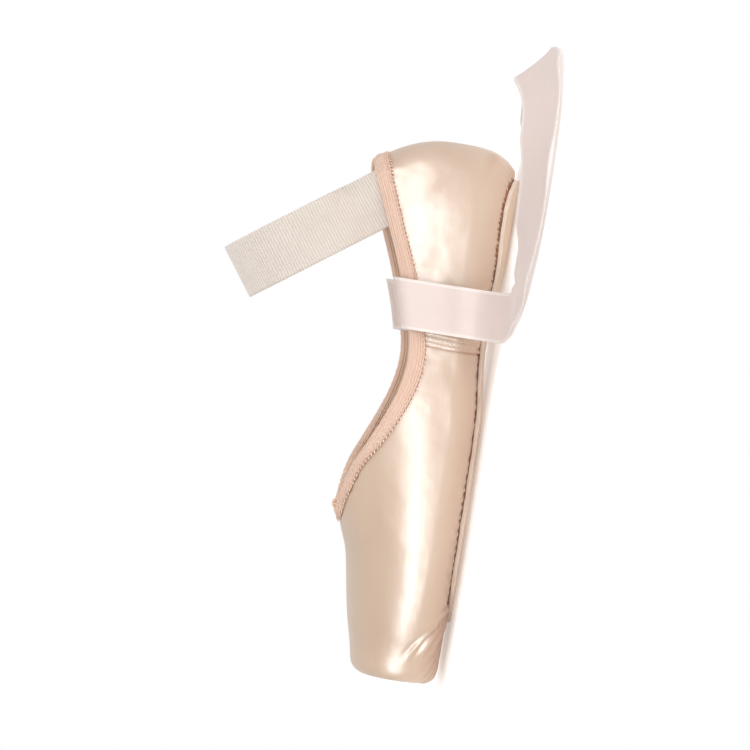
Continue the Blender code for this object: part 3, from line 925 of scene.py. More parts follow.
def seamDepthAt(points):
    # Side seam: a narrow ditch, its allowance raised behind it and puckered by the stitches
    away, distance, height = np.abs(points[..., 0]), points[..., 1], points[..., 2]
    gap = seamGap(distance, height)
    ditch = -sideSeam["depth"] * bell(gap, 0, sideSeam["width"])
    behind = ramp(gap, *sideSeam["behind"]) * (gap < 0)
    pulled = 0.5 + 0.5 * np.cos(height / sideSeam["pucker"] * 2 * math.pi)
    rows = sum(bell(gap, -row, sideSeam["rowWidth"]) for row in sideSeam["rows"])
    allowance = (sideSeam["raised"] + sideSeam["swell"] * pulled) * behind
    allowance = allowance - sideSeam["rowDepth"] * rows * (0.4 + 0.6 * pulled)
    roll = sideSeam["rollHeight"] * bell(gap, *sideSeam["roll"])
    roll = roll * (0.9 + 0.2 * np.sin(height / 0.0011))
    back = backSeam["height"] * bell(away, *backSeam["roll"])
    back = back - backSeam["depth"] * bell(away, 0, backSeam["width"])
    side = (ditch + allowance + roll) * ramp(away, *sideSeam["sides"])
    return side + np.where(distance < backSeam["end"], back, 0)


def puckerDepthAt(points):
    # Small gathers where the satin is pulled in under the outsole's edge
    x, distance, height = points[..., 0], points[..., 1], points[..., 2]
    low = 1 - ramp(height - archAt(distance), *pucker["soleLow"])
    back = 1 - ramp(distance, *pucker["soleEnd"])
    long, short = (distance / length for length in pucker["soleLengths"])
    wave = np.sin(long + 4 * x / 0.01) + 0.6 * np.sin(short + 1.3)
    around = np.arctan2(x, pucker["heelCentre"] - distance)
    few, many = (np.sin(around * turns) for turns in pucker["heelTurns"])
    wave = np.where(distance < pucker["heelCentre"], few + 0.5 * many, wave)
    return pucker["sole"] * wave * low * back


def collarPuckerAt(outside, fromTop):
    # Small puckers below the binding, where its stitches pull the satin
    pull = bell(np.maximum(fromTop, 0), 0, pucker["collarReach"])
    station = outside[..., 1]
    long, short = (station / length for length in pucker["collarLengths"])
    wave = np.sin(long + 40 * fromTop) + 0.8 * np.sin(short - 60 * fromTop + 1)
    patch = 0.6 + 0.4 * np.sin(station / pucker["collarPatch"])
    return pucker["collar"] * pull * wave * patch


def paintedSatinShade(outside, fromTop):
    # Painted shade: how far the satin's colour turns warm and dark where shade falls, in seams
    # and pleats, under the binding's edge and towards the outsole
    distance, height = outside[..., 1], outside[..., 2]
    # Painted shade in the side seam's ditch
    deep, width = sideSeam["shade"]
    seam = deep * bell(seamGap(distance, height), 0, width)
    seam = seam * ramp(np.abs(outside[..., 0]), *sideSeam["sides"])
    # Painted shade under the binding's edge
    deep, width = shading["paintedShadeUnderBinding"]
    paintedShadeUnderBinding = deep * bell(np.maximum(fromTop, 0), 0, width)
    # Painted shade, darker lower down towards the outsole
    deep, *band = shading["low"]
    low = deep * (1 - ramp(height - archAt(distance), *band))
    # Painted shade in the pleats' troughs
    paintedShade = shading["paintedShade"] * smooth(-pleatDepthAt(outside) / pleat["depth"])
    return np.clip(np.maximum(np.maximum(seam, paintedShadeUnderBinding), paintedShade) + low, 0, 1)


def makeUpper(rays, ring, edges, materials):
    outer = sideCurves(rays)
    inner = sideCurves(rays, walls=1)
    width, count = binding["width"], upper["outerRows"]
    outside, inside = [], []
    for i in range(len(rays)):
        curve = wallCurve(outer[i], rays[i], ring[i], edges[i])
        depth = lengthsAlong(curve)
        lower = np.vstack([curve[depth < depth[-1] - width], belowEdge(curve, width)])
        outside.append(np.vstack([
            resample(lower, count - 3, upper["rowTurn"]),
            belowEdge(curve, 0.6 * width),
            belowEdge(curve, 0.25 * width),
            curve[-1],
        ]))
        inside.append(resample(wallCurve(inner[i], rays[i], ring[i], edges[i]), upper["innerRows"]))
    outside, inside = np.array(outside), np.array(inside)
    # Normals point away from the middle of the shoe
    normal = unit(np.cross(aroundRing(outside), np.gradient(outside, axis=1)))
    if np.mean(normal[..., 0] * outside[..., 0]) < 0:
        normal = -normal
    relief = creaseDepth(outside) + pleatDepthAt(outside) + seamDepthAt(outside)
    relief += puckerDepthAt(outside)
    relief += collarPuckerAt(outside, rowLengths(outside, fromLast=True) - width)
    # The relief fades where the binding and the outsole cover the satin
    shares, rows = np.linspace(0, 1, count)[None, :], np.arange(count)[None, :]
    free = np.where(rows > count - 3, 0.0, 1.0) * smooth(shares / upper["covered"])
    outside = outside + normal * (relief * free)[:, :, None]
    strips = np.concatenate([outside, inside[:, ::-1]], axis=1)
    looks = np.tile((np.arange(strips.shape[1]) >= count - 1).astype(int), len(rays))
    flow = np.array([0.0, 1.0, 0.0]) - normal * normal[..., 1:2]
    sideways = upper["pleatFlow"] * (np.array([1.0, 0.0, 0.0]) - normal * normal[..., 0:1])
    thread = np.zeros_like(strips)
    thread[:, :count] = unit(flow + sideways)
    thread[:, count:] = (0.0, 1.0, 0.0)
    # Painted shade for the satin's colour in seams, pleats, under the binding and low down
    shade = np.zeros(strips.shape[:2])
    shade[:, :count] = paintedSatinShade(outside, rowLengths(outside, fromLast=True) - width)
    piece = makePiece(
        "upper_satin", strips, gridFaces(len(rays), strips.shape[1], closed=True), materials,
        looks, np.stack([strips[..., 1], rowLengths(strips)], axis=2), thread=thread, shade=shade,
    )
    settle(piece, "satin", "upper")


# Binding: tape folded over the collar, gathered on the drawstring inside it

bindingLook = {
    "columns": 1000,
    "faceRows": 15,
    "crownRows": 7,
    "gapHeight": 0.2,  # share of the width at which the gap to the wall is closed
    "gather": 0.00009,
    "gatherLength": 0.0031,
    "throatGather": 0.00030,
    "throat": (0.145, 0.02),
    "heel": (0.012, 0.012),
    "cordBulge": 0.00050,
    "edgeDitch": 0.00024,
    "rolled": 0.00016,
    "rawEdge": 0.00035,
}
crownRow = bindingLook["faceRows"] + bindingLook["crownRows"]
gapRow = crownRow + bindingLook["faceRows"]
stitchRow = 3  # of the outer face; the inner face has the same row


def bindingStrips(rays, ring, edges):
    # Closed sections of the tape: outer face, crown, inner face and the gap to the wall
    crown, tuck = binding["clearance"] + binding["thickness"], binding["tuck"]
    surfaces = {
        "outer": sideCurves(rays, 0, -crown),
        "outerGap": sideCurves(rays, 0, -tuck),
        "innerGap": sideCurves(rays, 1, tuck),
        "inner": sideCurves(rays, 1, crown),
    }
    width = binding["width"]
    depths = np.linspace(1, 0, bindingLook["faceRows"]) * width
    low = bindingLook["gapHeight"] * width
    turns = np.linspace(0, math.pi, bindingLook["crownRows"] + 2)[1:-1]
    strips = []
    for i in range(len(rays)):
        wall = {
            key: wallCurve(curves[i], rays[i], ring[i], edges[i])
            for key, curves in surfaces.items()
        }
        outside = [belowEdge(wall["outer"], depth) for depth in depths]
        inside = [belowEdge(wall["inner"], depth) for depth in depths[::-1]]
        first, end = outside[-1], inside[0]
        upward = belowEdge(wall["outer"], -crown) - first
        middle, span = (first + end) / 2, (first - end) / 2
        arch = [middle + span * math.cos(turn) + upward * math.sin(turn) for turn in turns]
        gap = [belowEdge(wall["innerGap"], width), belowEdge(wall["innerGap"], low)]
        gap += [belowEdge(wall["outerGap"], low), belowEdge(wall["outerGap"], width)]
        strips.append(np.array(outside + arch + inside + gap))
    return np.array(strips)


def evenAround(strips, count):
    # The same sections, evenly spaced round the collar and a little smoothed
    closed = np.concatenate([strips, strips[:1]])
    run = lengthsAlong(closed[:, bindingLook["faceRows"] - 1])
    at = np.linspace(0, run[-1], count, endpoint=False)
    rows = range(strips.shape[1])
    out = np.stack([pointsAt(closed[:, j], run, at) for j in rows], axis=1)
    for _ in range(3):
        out = (np.roll(out, 1, axis=0) + 2 * out + np.roll(out, -1, axis=0)) / 4
    return out, at


def makeBinding(strips, at, materials):
    count, faceRows = strips.shape[1], bindingLook["faceRows"]
    rows = np.arange(count)
    away = strips - strips[:, :gapRow].mean(axis=1, keepdims=True)
    flow = unit(aroundRing(strips))
    normal = unit(np.cross(flow, np.roll(strips, -1, axis=1) - np.roll(strips, 1, axis=1)))
    flip = np.sign(np.sum(normal * away, axis=2).mean(axis=0))
    normal *= np.where(flip == 0, 1, flip)[None, :, None]
    share = np.clip(rows / (faceRows - 1), 0, 1)
    # Across the tape: turned edge, ditch of the stitching, bulge of the cord, rolled top
    outline = (
        bindingLook["cordBulge"] * bell(share, 0.62, 0.2)
        - bindingLook["edgeDitch"] * bell(share, 0.22, 0.07)
        - bindingLook["rolled"] * bell(share, 0.95, 0.06)
    ) * smooth(rows / 2) * (rows < faceRows)
    outline = outline - np.where(rows == 0, bindingLook["rawEdge"], 0)
    # Gathers: irregular puckers, tighter at the throat and at the back of the heel
    y = strips[:, faceRows - 1, 1]
    tight = ramp(y, *bindingLook["throat"]) + 0.7 * (1 - ramp(y, *bindingLook["heel"]))
    phase = 2 * math.pi * at / bindingLook["gatherLength"]
    phase = phase + 1.9 * np.sin(at / 0.0097) + 1.1 * np.sin(at / 0.0041 + 1)
    depth = bindingLook["gather"] + (bindingLook["throatGather"] - bindingLook["gather"]) * tight
    # The gathers come in patches, and some die out halfway across the tape
    patch = 0.55 + 0.45 * np.sin(at / 0.0113 + 0.8) * np.sin(at / 0.0301)
    depth = depth * (patch + (1 - patch) * tight)
    slant, phase = np.linspace(0, 2.6, count)[None, :], phase[:, None]
    gathers = np.sin(phase + slant) + 0.5 * np.sin(0.62 * phase - 3 * slant)
    cover = np.where(rows >= crownRow, 0.6, 0.8)
    cover = np.where(rows < faceRows, 1 - 0.5 * np.abs(share - 0.45), cover) * (rows < gapRow)
    relief = outline[None, :] + depth[:, None] * gathers * cover[None, :]
    points = strips + normal * relief[:, :, None]
    cloth = np.stack([np.repeat(at[:, None], count, axis=1), rowLengths(strips)], axis=2)
    faces = gridFaces(len(points), count, closed=True)
    piece = makePiece("binding_tape", points, faces, materials, cloth=cloth, thread=flow)
    settle(piece, "binding_tape", "binding")
    return points, normal


# Outsole: leather, cupped to the satin, with a buffed face and a cut edge

outsoleLook = {
    "stations": 260,
    "across": 33,
    "edgeRound": 0.00035,
    "rimSplit": 0.38,  # share of the edge's height at which its bulge starts
    "rimBulge": 0.00018,
    "seat": 0.00012,
}


def soleStations(count):
    gap = sole["endGap"] * sole["length"]
    return endSpaced(soleStart + gap, soleEnd - gap, count)


def soleSection(distance):
    # One section of the outsole: across its floor face, then back over its top face
    half = float(soleHalf(distance))
    x = endSpaced(-1, 1, outsoleLook["across"]) * half
    top = underside(x, distance) - outsoleLook["seat"]
    bottom = np.maximum(float(archAt(distance)), top - sole["edgeThickness"])
    # Rounded corners where the knife's edge was rubbed down
    rim = (half - np.abs(x)) / outsoleLook["edgeRound"]
    worn = outsoleLook["edgeRound"] * (1 - np.clip(rim, 0, 1)) ** 2
    station = np.full(len(x), distance)
    lower = np.stack([x, station, bottom + worn], axis=1)
    higher = np.stack([x, station, top - worn * 0.6], axis=1)
    low, bulged = outsoleLook["rimSplit"], np.array([outsoleLook["rimBulge"], 0, 0])
    right = np.array([
        lower[-1] * (1 - share) + higher[-1] * share + bulged for share in (low, 1 - low)
    ])
    left = right[::-1] * np.array([-1, 1, 1])
    return np.vstack([lower, right, higher[::-1], left])


def makeOutsole(materials):
    sections = np.array([soleSection(station) for station in soleStations(outsoleLook["stations"])])
    count, wide = sections.shape[1], outsoleLook["across"]
    strip = np.zeros(count, dtype=int)
    strip[wide - 1:wide + 2] = 1
    strip[2 * wide + 1:] = 1
    looks = np.concatenate([np.tile(strip, len(sections) - 1), [1, 1]])
    faces = tubeFaces(len(sections), count)
    piece = makePiece("outsole_leather", sections, faces, materials, looks, sections[..., :2])
    settle(piece, "leather", "outsole")


# Insole: sock cloth over a thin board

insoleLook = {
    "length": 0.214,
    "toeRound": 9.2,  # its length over that of its rounded toe
    "thickness": 0.0025,
    "edgeThickness": 0.0008,
    "stations": 170,
    "across": 31,
    "clearance": 0.00042,
    "rim": 0.0018,
    "rimDrop": 0.0006,
    "heelDent": (0.00045, 0.036, 0.020, 0.015),  # depth, distance, half length, half width
    "ballDent": (0.0004, 0.168, 0.024, 0.022),
    "seamInset": 0.0032,
}
insoleSeat = last["upperBase"] + last["quarterWall"] + binding["clearance"]
insoleEdge = insoleSeat + insoleLook["thickness"] - insoleLook["edgeThickness"]


def insoleAt(distance):
    # Height of the board's face and its half width
    lift = archAt(distance) + wallAt(distance) - last["quarterWall"]
    half = halfWidth(distance, insoleEdge + lift, 1, insoleLook["clearance"])
    share = insoleLook["toeRound"]
    toe = np.clip(distance / insoleLook["length"] * share - (share - 1), 0, 0.999)
    power = last["crownSquare"]
    return insoleSeat + lift + insoleLook["thickness"], float(half * (1 - toe ** power) ** (1 / power))


def dentAt(x, distance, dent):
    depth, middle, length, width = dent
    return depth * bell(distance, middle, length) * bell(x, 0, width)


def makeInsole(materials):
    first = float(heelBack(insoleEdge)) + 3 * last["quarterWall"]
    sections = []
    for distance in endSpaced(first, insoleLook["length"], insoleLook["stations"]):
        crown, half = insoleAt(distance)
        x = endSpaced(-1, 1, insoleLook["across"]) * half
        # The cloth is rounded over the board's edge and pressed down at the heel and ball
        top = crown - insoleLook["rimDrop"] * (1 - smooth((half - np.abs(x)) / insoleLook["rim"]))
        for dent in ("heelDent", "ballDent"):
            top = top - dentAt(x, distance, insoleLook[dent])
        bottom = underside(x, distance, 1, insoleLook["clearance"])
        bottom = np.minimum(bottom, top - insoleLook["edgeThickness"])
        station = np.full(len(x), distance)
        lower = np.stack([x, station, bottom], axis=1)
        higher = np.stack([x, station, top], axis=1)
        sections.append(np.vstack([lower, higher[::-1]]))
    sections = np.array(sections)
    faces = tubeFaces(len(sections), sections.shape[1])
    piece = makePiece("insole_sock", sections, faces, materials, cloth=sections[..., :2])
    settle(piece, "sock", "insole")


# Elastic: woven band round the ankle, sewn inside the collar

elastic = {
    "width": 0.025,
    "thickness": 0.0012,
    "station": 0.030,
    "sewn": 0.010,
    "reach": 0.072,
    "span": 0.057,
    "rise": math.radians(54),
    "solidStations": 16,
    "stations": 900,
    "across": 24,
    "seat": 0.00012,
    "free": (0.04, 0.30),  # shares of its reach over which it leaves the collar's wall
    "ribSpacing": 0.00135,
    "ribHeight": 0.00016,
    "ribRound": 0.6,
    "flatEdge": 0.0011,
}

# Share of its reach, share of its half span, from the ankle's front back to the collar
elasticRows = (
    (1.000, 0.00),
    (0.985, 0.33),
    (0.930, 0.63),
    (0.830, 0.86),
    (0.680, 0.985),
    (0.500, 1.00),
    (0.320, 0.96),
    (0.160, 0.89),
    (0.000, 0.82),
)


def elasticSections():
    turn, reaches = elastic["rise"], elastic["reach"]
    ahead = np.array([0, math.cos(turn), math.sin(turn)])
    upward = np.array([0, -math.sin(turn), math.cos(turn)])
    origin = np.array([0, elastic["station"], float(read(collarCurve, elastic["station"]))])
    seat = 2 * binding["clearance"] + elastic["seat"] + binding["thickness"]
    halfSpan = curveThrough([(-a, b) for a, b in elasticRows])
    free = [reaches * share for share, _ in elasticRows]
    # The same stations as the solid's, joined by a smooth curve
    shares = np.linspace(0, 1, elastic["solidStations"])
    reach = np.interp(shares, np.linspace(0, 1, len(free)), free)
    reach = np.concatenate([reach, [-0.5 * elastic["sewn"], -elastic["sewn"]]])
    coarse = np.stack([elastic["span"] / 2 * read(halfSpan, -reach / reaches), reach], axis=1)
    mirrored = coarse[1:] * np.array([-1, 1])
    path = smoothPath(np.vstack([mirrored[::-1], coarse]), 30)
    for _ in range(40):
        path[1:-1] = (path[:-2] + 2 * path[1:-1] + path[2:]) / 4
    run = lengthsAlong(path)
    at = np.linspace(0, run[-1], elastic["stations"])
    path = pointsAt(path, run, at)
    step = unit(np.gradient(path, axis=0))
    outward = np.stack([-step[:, 1], step[:, 0]], axis=1)
    outward *= np.sign(outward[:, 1].mean())
    across = np.linspace(-0.5, 0.5, elastic["across"]) * elastic["width"]
    outer, inner = [], []
    for k, (out, forward) in enumerate(path):
        face = origin + forward * ahead + across[:, None] * upward
        wall = halfWidth(face[:, 1], face[:, 2], 1, seat)
        loose = ramp(forward / reaches, *elastic["free"])
        face[:, 0] = (1 if out > 0 else -1) * (wall + loose * (abs(out) - wall))
        shift = outward[k, 0] * np.array([1.0, 0, 0]) + outward[k, 1] * ahead
        outer.append(face)
        inner.append(face - elastic["thickness"] * shift)
    return np.array(outer), np.array(inner), at


def makeElastic(materials):
    outer, inner, at = elasticSections()
    strips = np.concatenate([outer, inner[:, ::-1]], axis=1)
    shares = np.linspace(0, 1, elastic["across"])
    rows = np.repeat(at[:, None], len(shares), axis=1)
    piece = makePiece(
        "elastic_band", strips, bandFaces(len(strips), len(shares)), materials,
        cloth=bandCloth(rows, shares, elastic["width"]), thread=unit(np.gradient(strips, axis=0)),
    )
    # Where each point lies along the band, and how near an edge, for the ribs
    store(piece.data, "along", np.concatenate([rows, rows], axis=1))
    inset = np.minimum(shares, 1 - shares) * elastic["width"]
    store(piece.data, "fromEdge", np.tile(np.concatenate([inset, inset[::-1]]), len(strips)))
    piece = grown(piece, ribTree(materials[0]), {
        "Rib spacing": elastic["ribSpacing"],
        "Rib height": elastic["ribHeight"],
        "Flat edge": elastic["flatEdge"],
    })
    settle(piece, "elastic_webbing", "elastic")
    return inner


def newTree(name, inputs):
    # A tree of Geometry Nodes with named inputs, and what its input node gives
    tree = bpy.data.node_groups.new(name, "GeometryNodeTree")
    tree.is_modifier = True
    sockets = [("Geometry", "Geometry", "INPUT")]
    sockets += [(label, "Int" if label == "Seed" else "Float", "INPUT") for label in inputs]
    for label, kind, way in sockets + [("Geometry", "Geometry", "OUTPUT")]:
        tree.interface.new_socket(label, in_out=way, socket_type="NodeSocket" + kind)
    return tree, addNode(tree, "NodeGroupInput").outputs


def finishTree(tree, geometry, material):
    whole = addNode(tree, "GeometryNodeRealizeInstances", {"Geometry": geometry}).outputs[0]
    dyed = addNode(tree, "GeometryNodeSetMaterial", {"Geometry": whole, "Material": material})
    addNode(tree, "NodeGroupOutput", {"Geometry": dyed.outputs[0]})
    return tree


def ribTree(material):
    # Cross ribs: each point moves out by how near it lies to the crown of a rib
    tree, given = newTree("elastic ribs", ("Rib spacing", "Rib height", "Flat edge"))
    named = "GeometryNodeInputNamedAttribute"
    values = {
        label: addNode(tree, named, {"Name": label}, data_type="FLOAT").outputs["Attribute"]
        for label in ("along", "fromEdge")
    }
    for label, operation, *second in (
        ("fromEdge", "DIVIDE", given["Flat edge"]),
        ("fromEdge", "MINIMUM", 1.0),
        ("fromEdge", "POWER", 2.0),
        ("along", "DIVIDE", given["Rib spacing"]),
        ("along", "MULTIPLY", math.pi),
        ("along", "SINE"),
        ("along", "ABSOLUTE"),
        ("along", "POWER", elastic["ribRound"]),
        ("along", "MULTIPLY", given["Rib height"]),
    ):
        inputs = {0: values[label], **dict(enumerate(second, 1))}
        values[label] = addNode(tree, "ShaderNodeMath", inputs, operation=operation).outputs[0]
    height = addNode(tree, "ShaderNodeMath", {
        0: values["along"], 1: values["fromEdge"],
    }, operation="MULTIPLY").outputs[0]
    normal = addNode(tree, "GeometryNodeInputNormal").outputs["Normal"]
    move = addNode(
        tree, "ShaderNodeVectorMath", {0: normal, "Scale": height}, operation="SCALE"
    ).outputs["Vector"]
    moved = addNode(tree, "GeometryNodeSetPosition", {"Geometry": given["Geometry"], "Offset": move})
    return finishTree(tree, moved.outputs["Geometry"], material)


def grown(source, tree, values):
    # The mesh that a tree of Geometry Nodes makes of a source object, which it replaces
    name, old = source.name, source.data
    modifier = source.modifiers.new("grow", "NODES")
    modifier.node_group = tree
    for item in tree.interface.items_tree:
        if item.in_out == "INPUT" and item.name in values:
            modifier[item.identifier] = values[item.name]
    depsgraph = bpy.context.evaluated_depsgraph_get()
    mesh = bpy.data.meshes.new_from_object(source.evaluated_get(depsgraph))
    bpy.data.objects.remove(source)
    bpy.data.meshes.remove(old)
    mesh.name = name
    return placed(name, mesh)


# Stitches: short lengths of thread set along a path, each pressed into the cloth

def stitchTree(name, material):
    tree, given = newTree(name, ("Spacing", "Length", "Width", "Height", "Slant", "Ragged", "Seed"))
    ragged, seed = given["Ragged"], given["Seed"]
    line = addNode(tree, "GeometryNodeMeshToCurve", {"Mesh": given["Geometry"]}).outputs["Curve"]
    line = addNode(tree, "GeometryNodeResampleCurve", {
        "Curve": line, "Length": given["Spacing"],
    }, mode="LENGTH").outputs["Curve"]
    thread = addNode(tree, "GeometryNodeMeshUVSphere", {
        "Segments": 8, "Rings": 6, "Radius": 0.5,
    }).outputs["Mesh"]
    thread = addNode(tree, "GeometryNodeSetShadeSmooth", {"Geometry": thread}).outputs["Geometry"]
    tangent = addNode(tree, "GeometryNodeInputTangent").outputs["Tangent"]
    outward = addNode(tree, "GeometryNodeInputNamedAttribute", {
        "Name": "outward",
    }, data_type="FLOAT_VECTOR").outputs["Attribute"]
    turn, chance = "FunctionNodeAlignRotationToVector", "FunctionNodeRandomValue"
    facing = addNode(tree, turn, {"Vector": outward}, axis="Z").outputs["Rotation"]
    facing = addNode(tree, turn, {
        "Rotation": facing, "Vector": tangent,
    }, axis="X", pivot_axis="Z").outputs["Rotation"]
    less = addNode(tree, "ShaderNodeMath", {0: 0.0, 1: ragged}, operation="SUBTRACT").outputs[0]
    lean = addNode(tree, chance, {2: less, 3: ragged, "Seed": seed}, data_type="FLOAT").outputs[1]
    lean = addNode(tree, "ShaderNodeMath", {0: lean, 1: given["Slant"]}, operation="ADD").outputs[0]
    spin = addNode(tree, "ShaderNodeCombineXYZ", {"Z": lean}).outputs["Vector"]
    facing = addNode(tree, "FunctionNodeRotateRotation", {
        "Rotation": facing, "Rotate By": spin,
    }, rotation_space="LOCAL").outputs["Rotation"]
    size = addNode(tree, "ShaderNodeCombineXYZ", {
        "X": given["Length"], "Y": given["Width"], "Z": given["Height"],
    }).outputs["Vector"]
    other = addNode(tree, "ShaderNodeMath", {0: seed, 1: 7.0}, operation="ADD").outputs[0]
    low = addNode(tree, "ShaderNodeMath", {0: 1.0, 1: ragged}, operation="SUBTRACT").outputs[0]
    vary = addNode(tree, chance, {2: low, 3: 1.0, "Seed": other}, data_type="FLOAT").outputs[1]
    size = addNode(
        tree, "ShaderNodeVectorMath", {0: size, "Scale": vary}, operation="SCALE"
    ).outputs["Vector"]
    sewn = addNode(tree, "GeometryNodeInstanceOnPoints", {
        "Points": line, "Instance": thread, "Rotation": facing, "Scale": size,
    }).outputs["Instances"]
    return finishTree(tree, sewn, material)


def stitch(spacing, length, width, height, slant=0.0, ragged=0.06, seed=3):
    # Metres, with the slant in radians; ragged is how much slant and size vary
    return {
        "Spacing": spacing, "Length": length, "Width": width, "Height": height,
        "Slant": slant, "Ragged": ragged, "Seed": seed,
    }


stitches = {
    "seam": stitch(0.0021, 0.0014, 0.0005, 0.0004),
    "tape": stitch(0.0022, 0.0013, 0.00055, 0.00036),
    "tapeInside": stitch(0.0022, 0.0013, 0.00055, 0.00036, seed=9),
    "tapeEdge": stitch(0.0021, 0.0019, 0.00068, 0.00050, 0.95, 0.3),
    "heelSeat": stitch(0.0023, 0.0031, 0.00062, 0.00050, 1.15, 0.5, 5),
    "heelThreads": stitch(0.0017, 0.0031, 0.00062, 0.00050, 0.8, 0.5, 12),
    "insole": stitch(0.003, 0.0019, 0.00045, 0.0003),
    "ribbon": stitch(0.0021, 0.0013, 0.0004, 0.00036, ragged=0.18),
    "elastic": stitch(0.0021, 0.0013, 0.0004, 0.00036, ragged=0.18, seed=8),
}
pressed = 0.00002  # how far a stitch's middle stands off the cloth
slopeStep = 0.0002  # over which the satin's slope is measured


def sew(name, lines, kind, material, slot):
    # lines: (points, outward directions) of each row of stitches, in the part's distances
    points, normals, edges = [], [], []
    for line, outward in lines:
        base = sum(len(p) for p in points)
        points.append(np.asarray(line, dtype=float))
        normals.append(np.asarray(outward, dtype=float))
        edges += [(base + k, base + k + 1) for k in range(len(line) - 1)]
    points = np.vstack(points)
    points[:, 1] -= midLength
    mesh = bpy.data.meshes.new(name)
    mesh.from_pydata(points.tolist(), edges, [])
    store(mesh, "outward", np.vstack(normals))
    piece = grown(placed(name, mesh), stitchTree(name, material), stitches[kind])
    settle(piece, slot)


def onSatin(side, distance, height):
    # Points on the satin's side at distances and heights, with their outward directions
    half = halfWidth(distance, height)
    slopeAlong, slopeUp = (
        (halfWidth(distance + y, height + z) - halfWidth(distance - y, height - z)) / (2 * slopeStep)
        for y, z in ((slopeStep, 0), (0, slopeStep))
    )
    points = np.stack([side * half, distance, height], axis=1)
    outward = unit(np.stack([side * np.ones_like(half), -slopeAlong, -slopeUp], axis=1))
    relief = creaseDepth(points) + seamDepthAt(points) + puckerDepthAt(points)
    return points + outward * relief[:, None], outward


def sewSideSeams(material):
    # Two rows of small stitches behind each ditch
    lines = []
    for side in (-1, 1):
        for behind in sideSeam["rows"]:
            distance = sideSeam["distance"] - behind
            top = float(read(collarCurve, distance)) - binding["width"] - 0.0006
            height = np.linspace(0.0085, top, 60)
            lines.append(onSatin(side, distance + seamWander(height), height))
    sew("side_seam_stitches", lines, "seam", material, "satin")


def sewBinding(points, normal, material, paleMaterial):
    # A row in the ditch of each face, and slanted stitches over the raw lower edge
    closed = np.arange(len(points) + 1) % len(points)
    down = unit(points[closed, 1] - points[closed, 4])
    edge = points[closed, 1] + down * 0.0006 - normal[closed, 1] * 0.0005
    face, lining = stitchRow, gapRow - stitchRow
    for name, line, row, kind, thread in (
        ("binding_stitches", points[closed, face], face, "tape", material),
        ("binding_edge_stitches", edge, 1, "tapeEdge", paleMaterial),
        ("binding_lining_stitches", points[closed, lining], lining, "tapeInside", material),
    ):
        outward = normal[closed, row]
        lift = 0 if kind == "tapeEdge" else pressed
        sew(name, [(line + outward * lift, outward)], kind, thread, "binding_tape")


# Outsole's seam: the dark line between satin and leather, glue and painted shadow of the gap, and its
# stitches

seamLine = {
    "radius": 0.00034,
    "samples": 350,  # to a side
    "sides": 8,
    "out": 0.00006,
}
hook = {
    "behind": 0.0115,
    "turns": (-0.5, 3.6),
    "points": 26,
    "size": (0.0021, 0.0015),
    "radius": 0.00027,
}


def tubePoints(path, radius, sides, closed=False):
    # Rings of points round a path
    tangent = unit(aroundRing(path) if closed else np.gradient(path, axis=0))
    side = unit(np.cross(tangent, np.array([0.0, 0.0, 1.0])) + 1e-9)
    up = np.cross(side, tangent)
    turn = np.linspace(0, 2 * math.pi, sides, endpoint=False)[None, :, None]
    radius = np.broadcast_to(np.asarray(radius, dtype=float), (len(path),))[:, None, None]
    return path[:, None, :] + radius * (np.cos(turn) * side[:, None, :] + np.sin(turn) * up[:, None, :])


def makeSoleSeam(material):
    # Along the corner where the outsole's edge meets the satin, round both sides: a dark tube,
    # partly glue and partly painted shadow of the gap there
    stations = soleStations(seamLine["samples"])
    half = soleHalf(stations)
    top = underside(half, stations) - outsoleLook["seat"]
    right = np.stack([half, stations, top], axis=1)
    path = np.vstack([right, right[::-1] * np.array([-1, 1, 1])])
    out = path - path.mean(axis=0)
    out[:, 2] = 0
    path = path + unit(out) * seamLine["out"]
    run = lengthsAlong(path)
    swell = 1 + 0.35 * np.sin(run / 0.0033) + 0.25 * np.sin(run / 0.0014 + 2)
    swell = swell + 0.2 * np.sin(run / 0.011)
    toe = 0.55 + 0.45 * (1 - ramp(path[:, 1] - soleEnd, -0.02, 0.02))
    points = tubePoints(path, seamLine["radius"] * swell * toe, seamLine["sides"], closed=True)
    faces = gridFaces(len(points), seamLine["sides"], closed=True)
    settle(makePiece("outsole_seam", points, faces, [material]), "leather")


def besideSole(side, station, out):
    # Points on the satin, a little way out from the outsole's edge, and outward directions
    step = slopeStep
    slope = (soleHalf(station + step) - soleHalf(station - step)) / (2 * step)
    away = unit(np.stack([np.ones_like(slope), -slope], axis=1))
    x, y = soleHalf(station) + out * away[:, 0], station + out * away[:, 1]
    slopeX = (underside(x + step, y) - underside(x - step, y)) / (2 * step)
    slopeY = (underside(x, y + step) - underside(x, y - step)) / (2 * step)
    outward = unit(np.stack([side * slopeX, slopeY, -np.ones_like(x)], axis=1))
    return np.stack([side * x, y, underside(x, y)], axis=1) + outward * 0.00012, outward


def sewOutsole(darkMaterial, rustMaterial):
    for name, first, end, kind, material in (
        ("heel_seat_stitches", 0.002, 0.047, "heelSeat", darkMaterial),
        ("heel_seat_threads", 0.004, 0.036, "heelThreads", rustMaterial),
    ):
        stations = soleStart + np.linspace(first, end, 80)
        lines = [besideSole(side, stations, 0.0009) for side in (-1, 1)]
        sew(name, lines, kind, material, "leather")


def makeToeHooks(material):
    # The outsole's thread is tied off at its tip on each side, in a small hook
    turn = np.linspace(*hook["turns"], hook["points"])
    station = soleEnd - hook["behind"] - hook["size"][0] * np.cos(turn)
    strips, faces = [], []
    for k, side in enumerate((-1, 1)):
        line, outward = besideSole(side, station, 0.0004 + hook["size"][1] * np.sin(turn))
        ring = tubePoints(line + outward * 0.0001, hook["radius"], seamLine["sides"])
        base = k * len(turn) * seamLine["sides"]
        faces += [tuple(base + j for j in face) for face in tubeFaces(len(ring), ring.shape[1])]
        strips.append(ring)
    piece = makePiece("toe_hook_stitches", np.concatenate(strips), faces, [material])
    settle(piece, "leather")


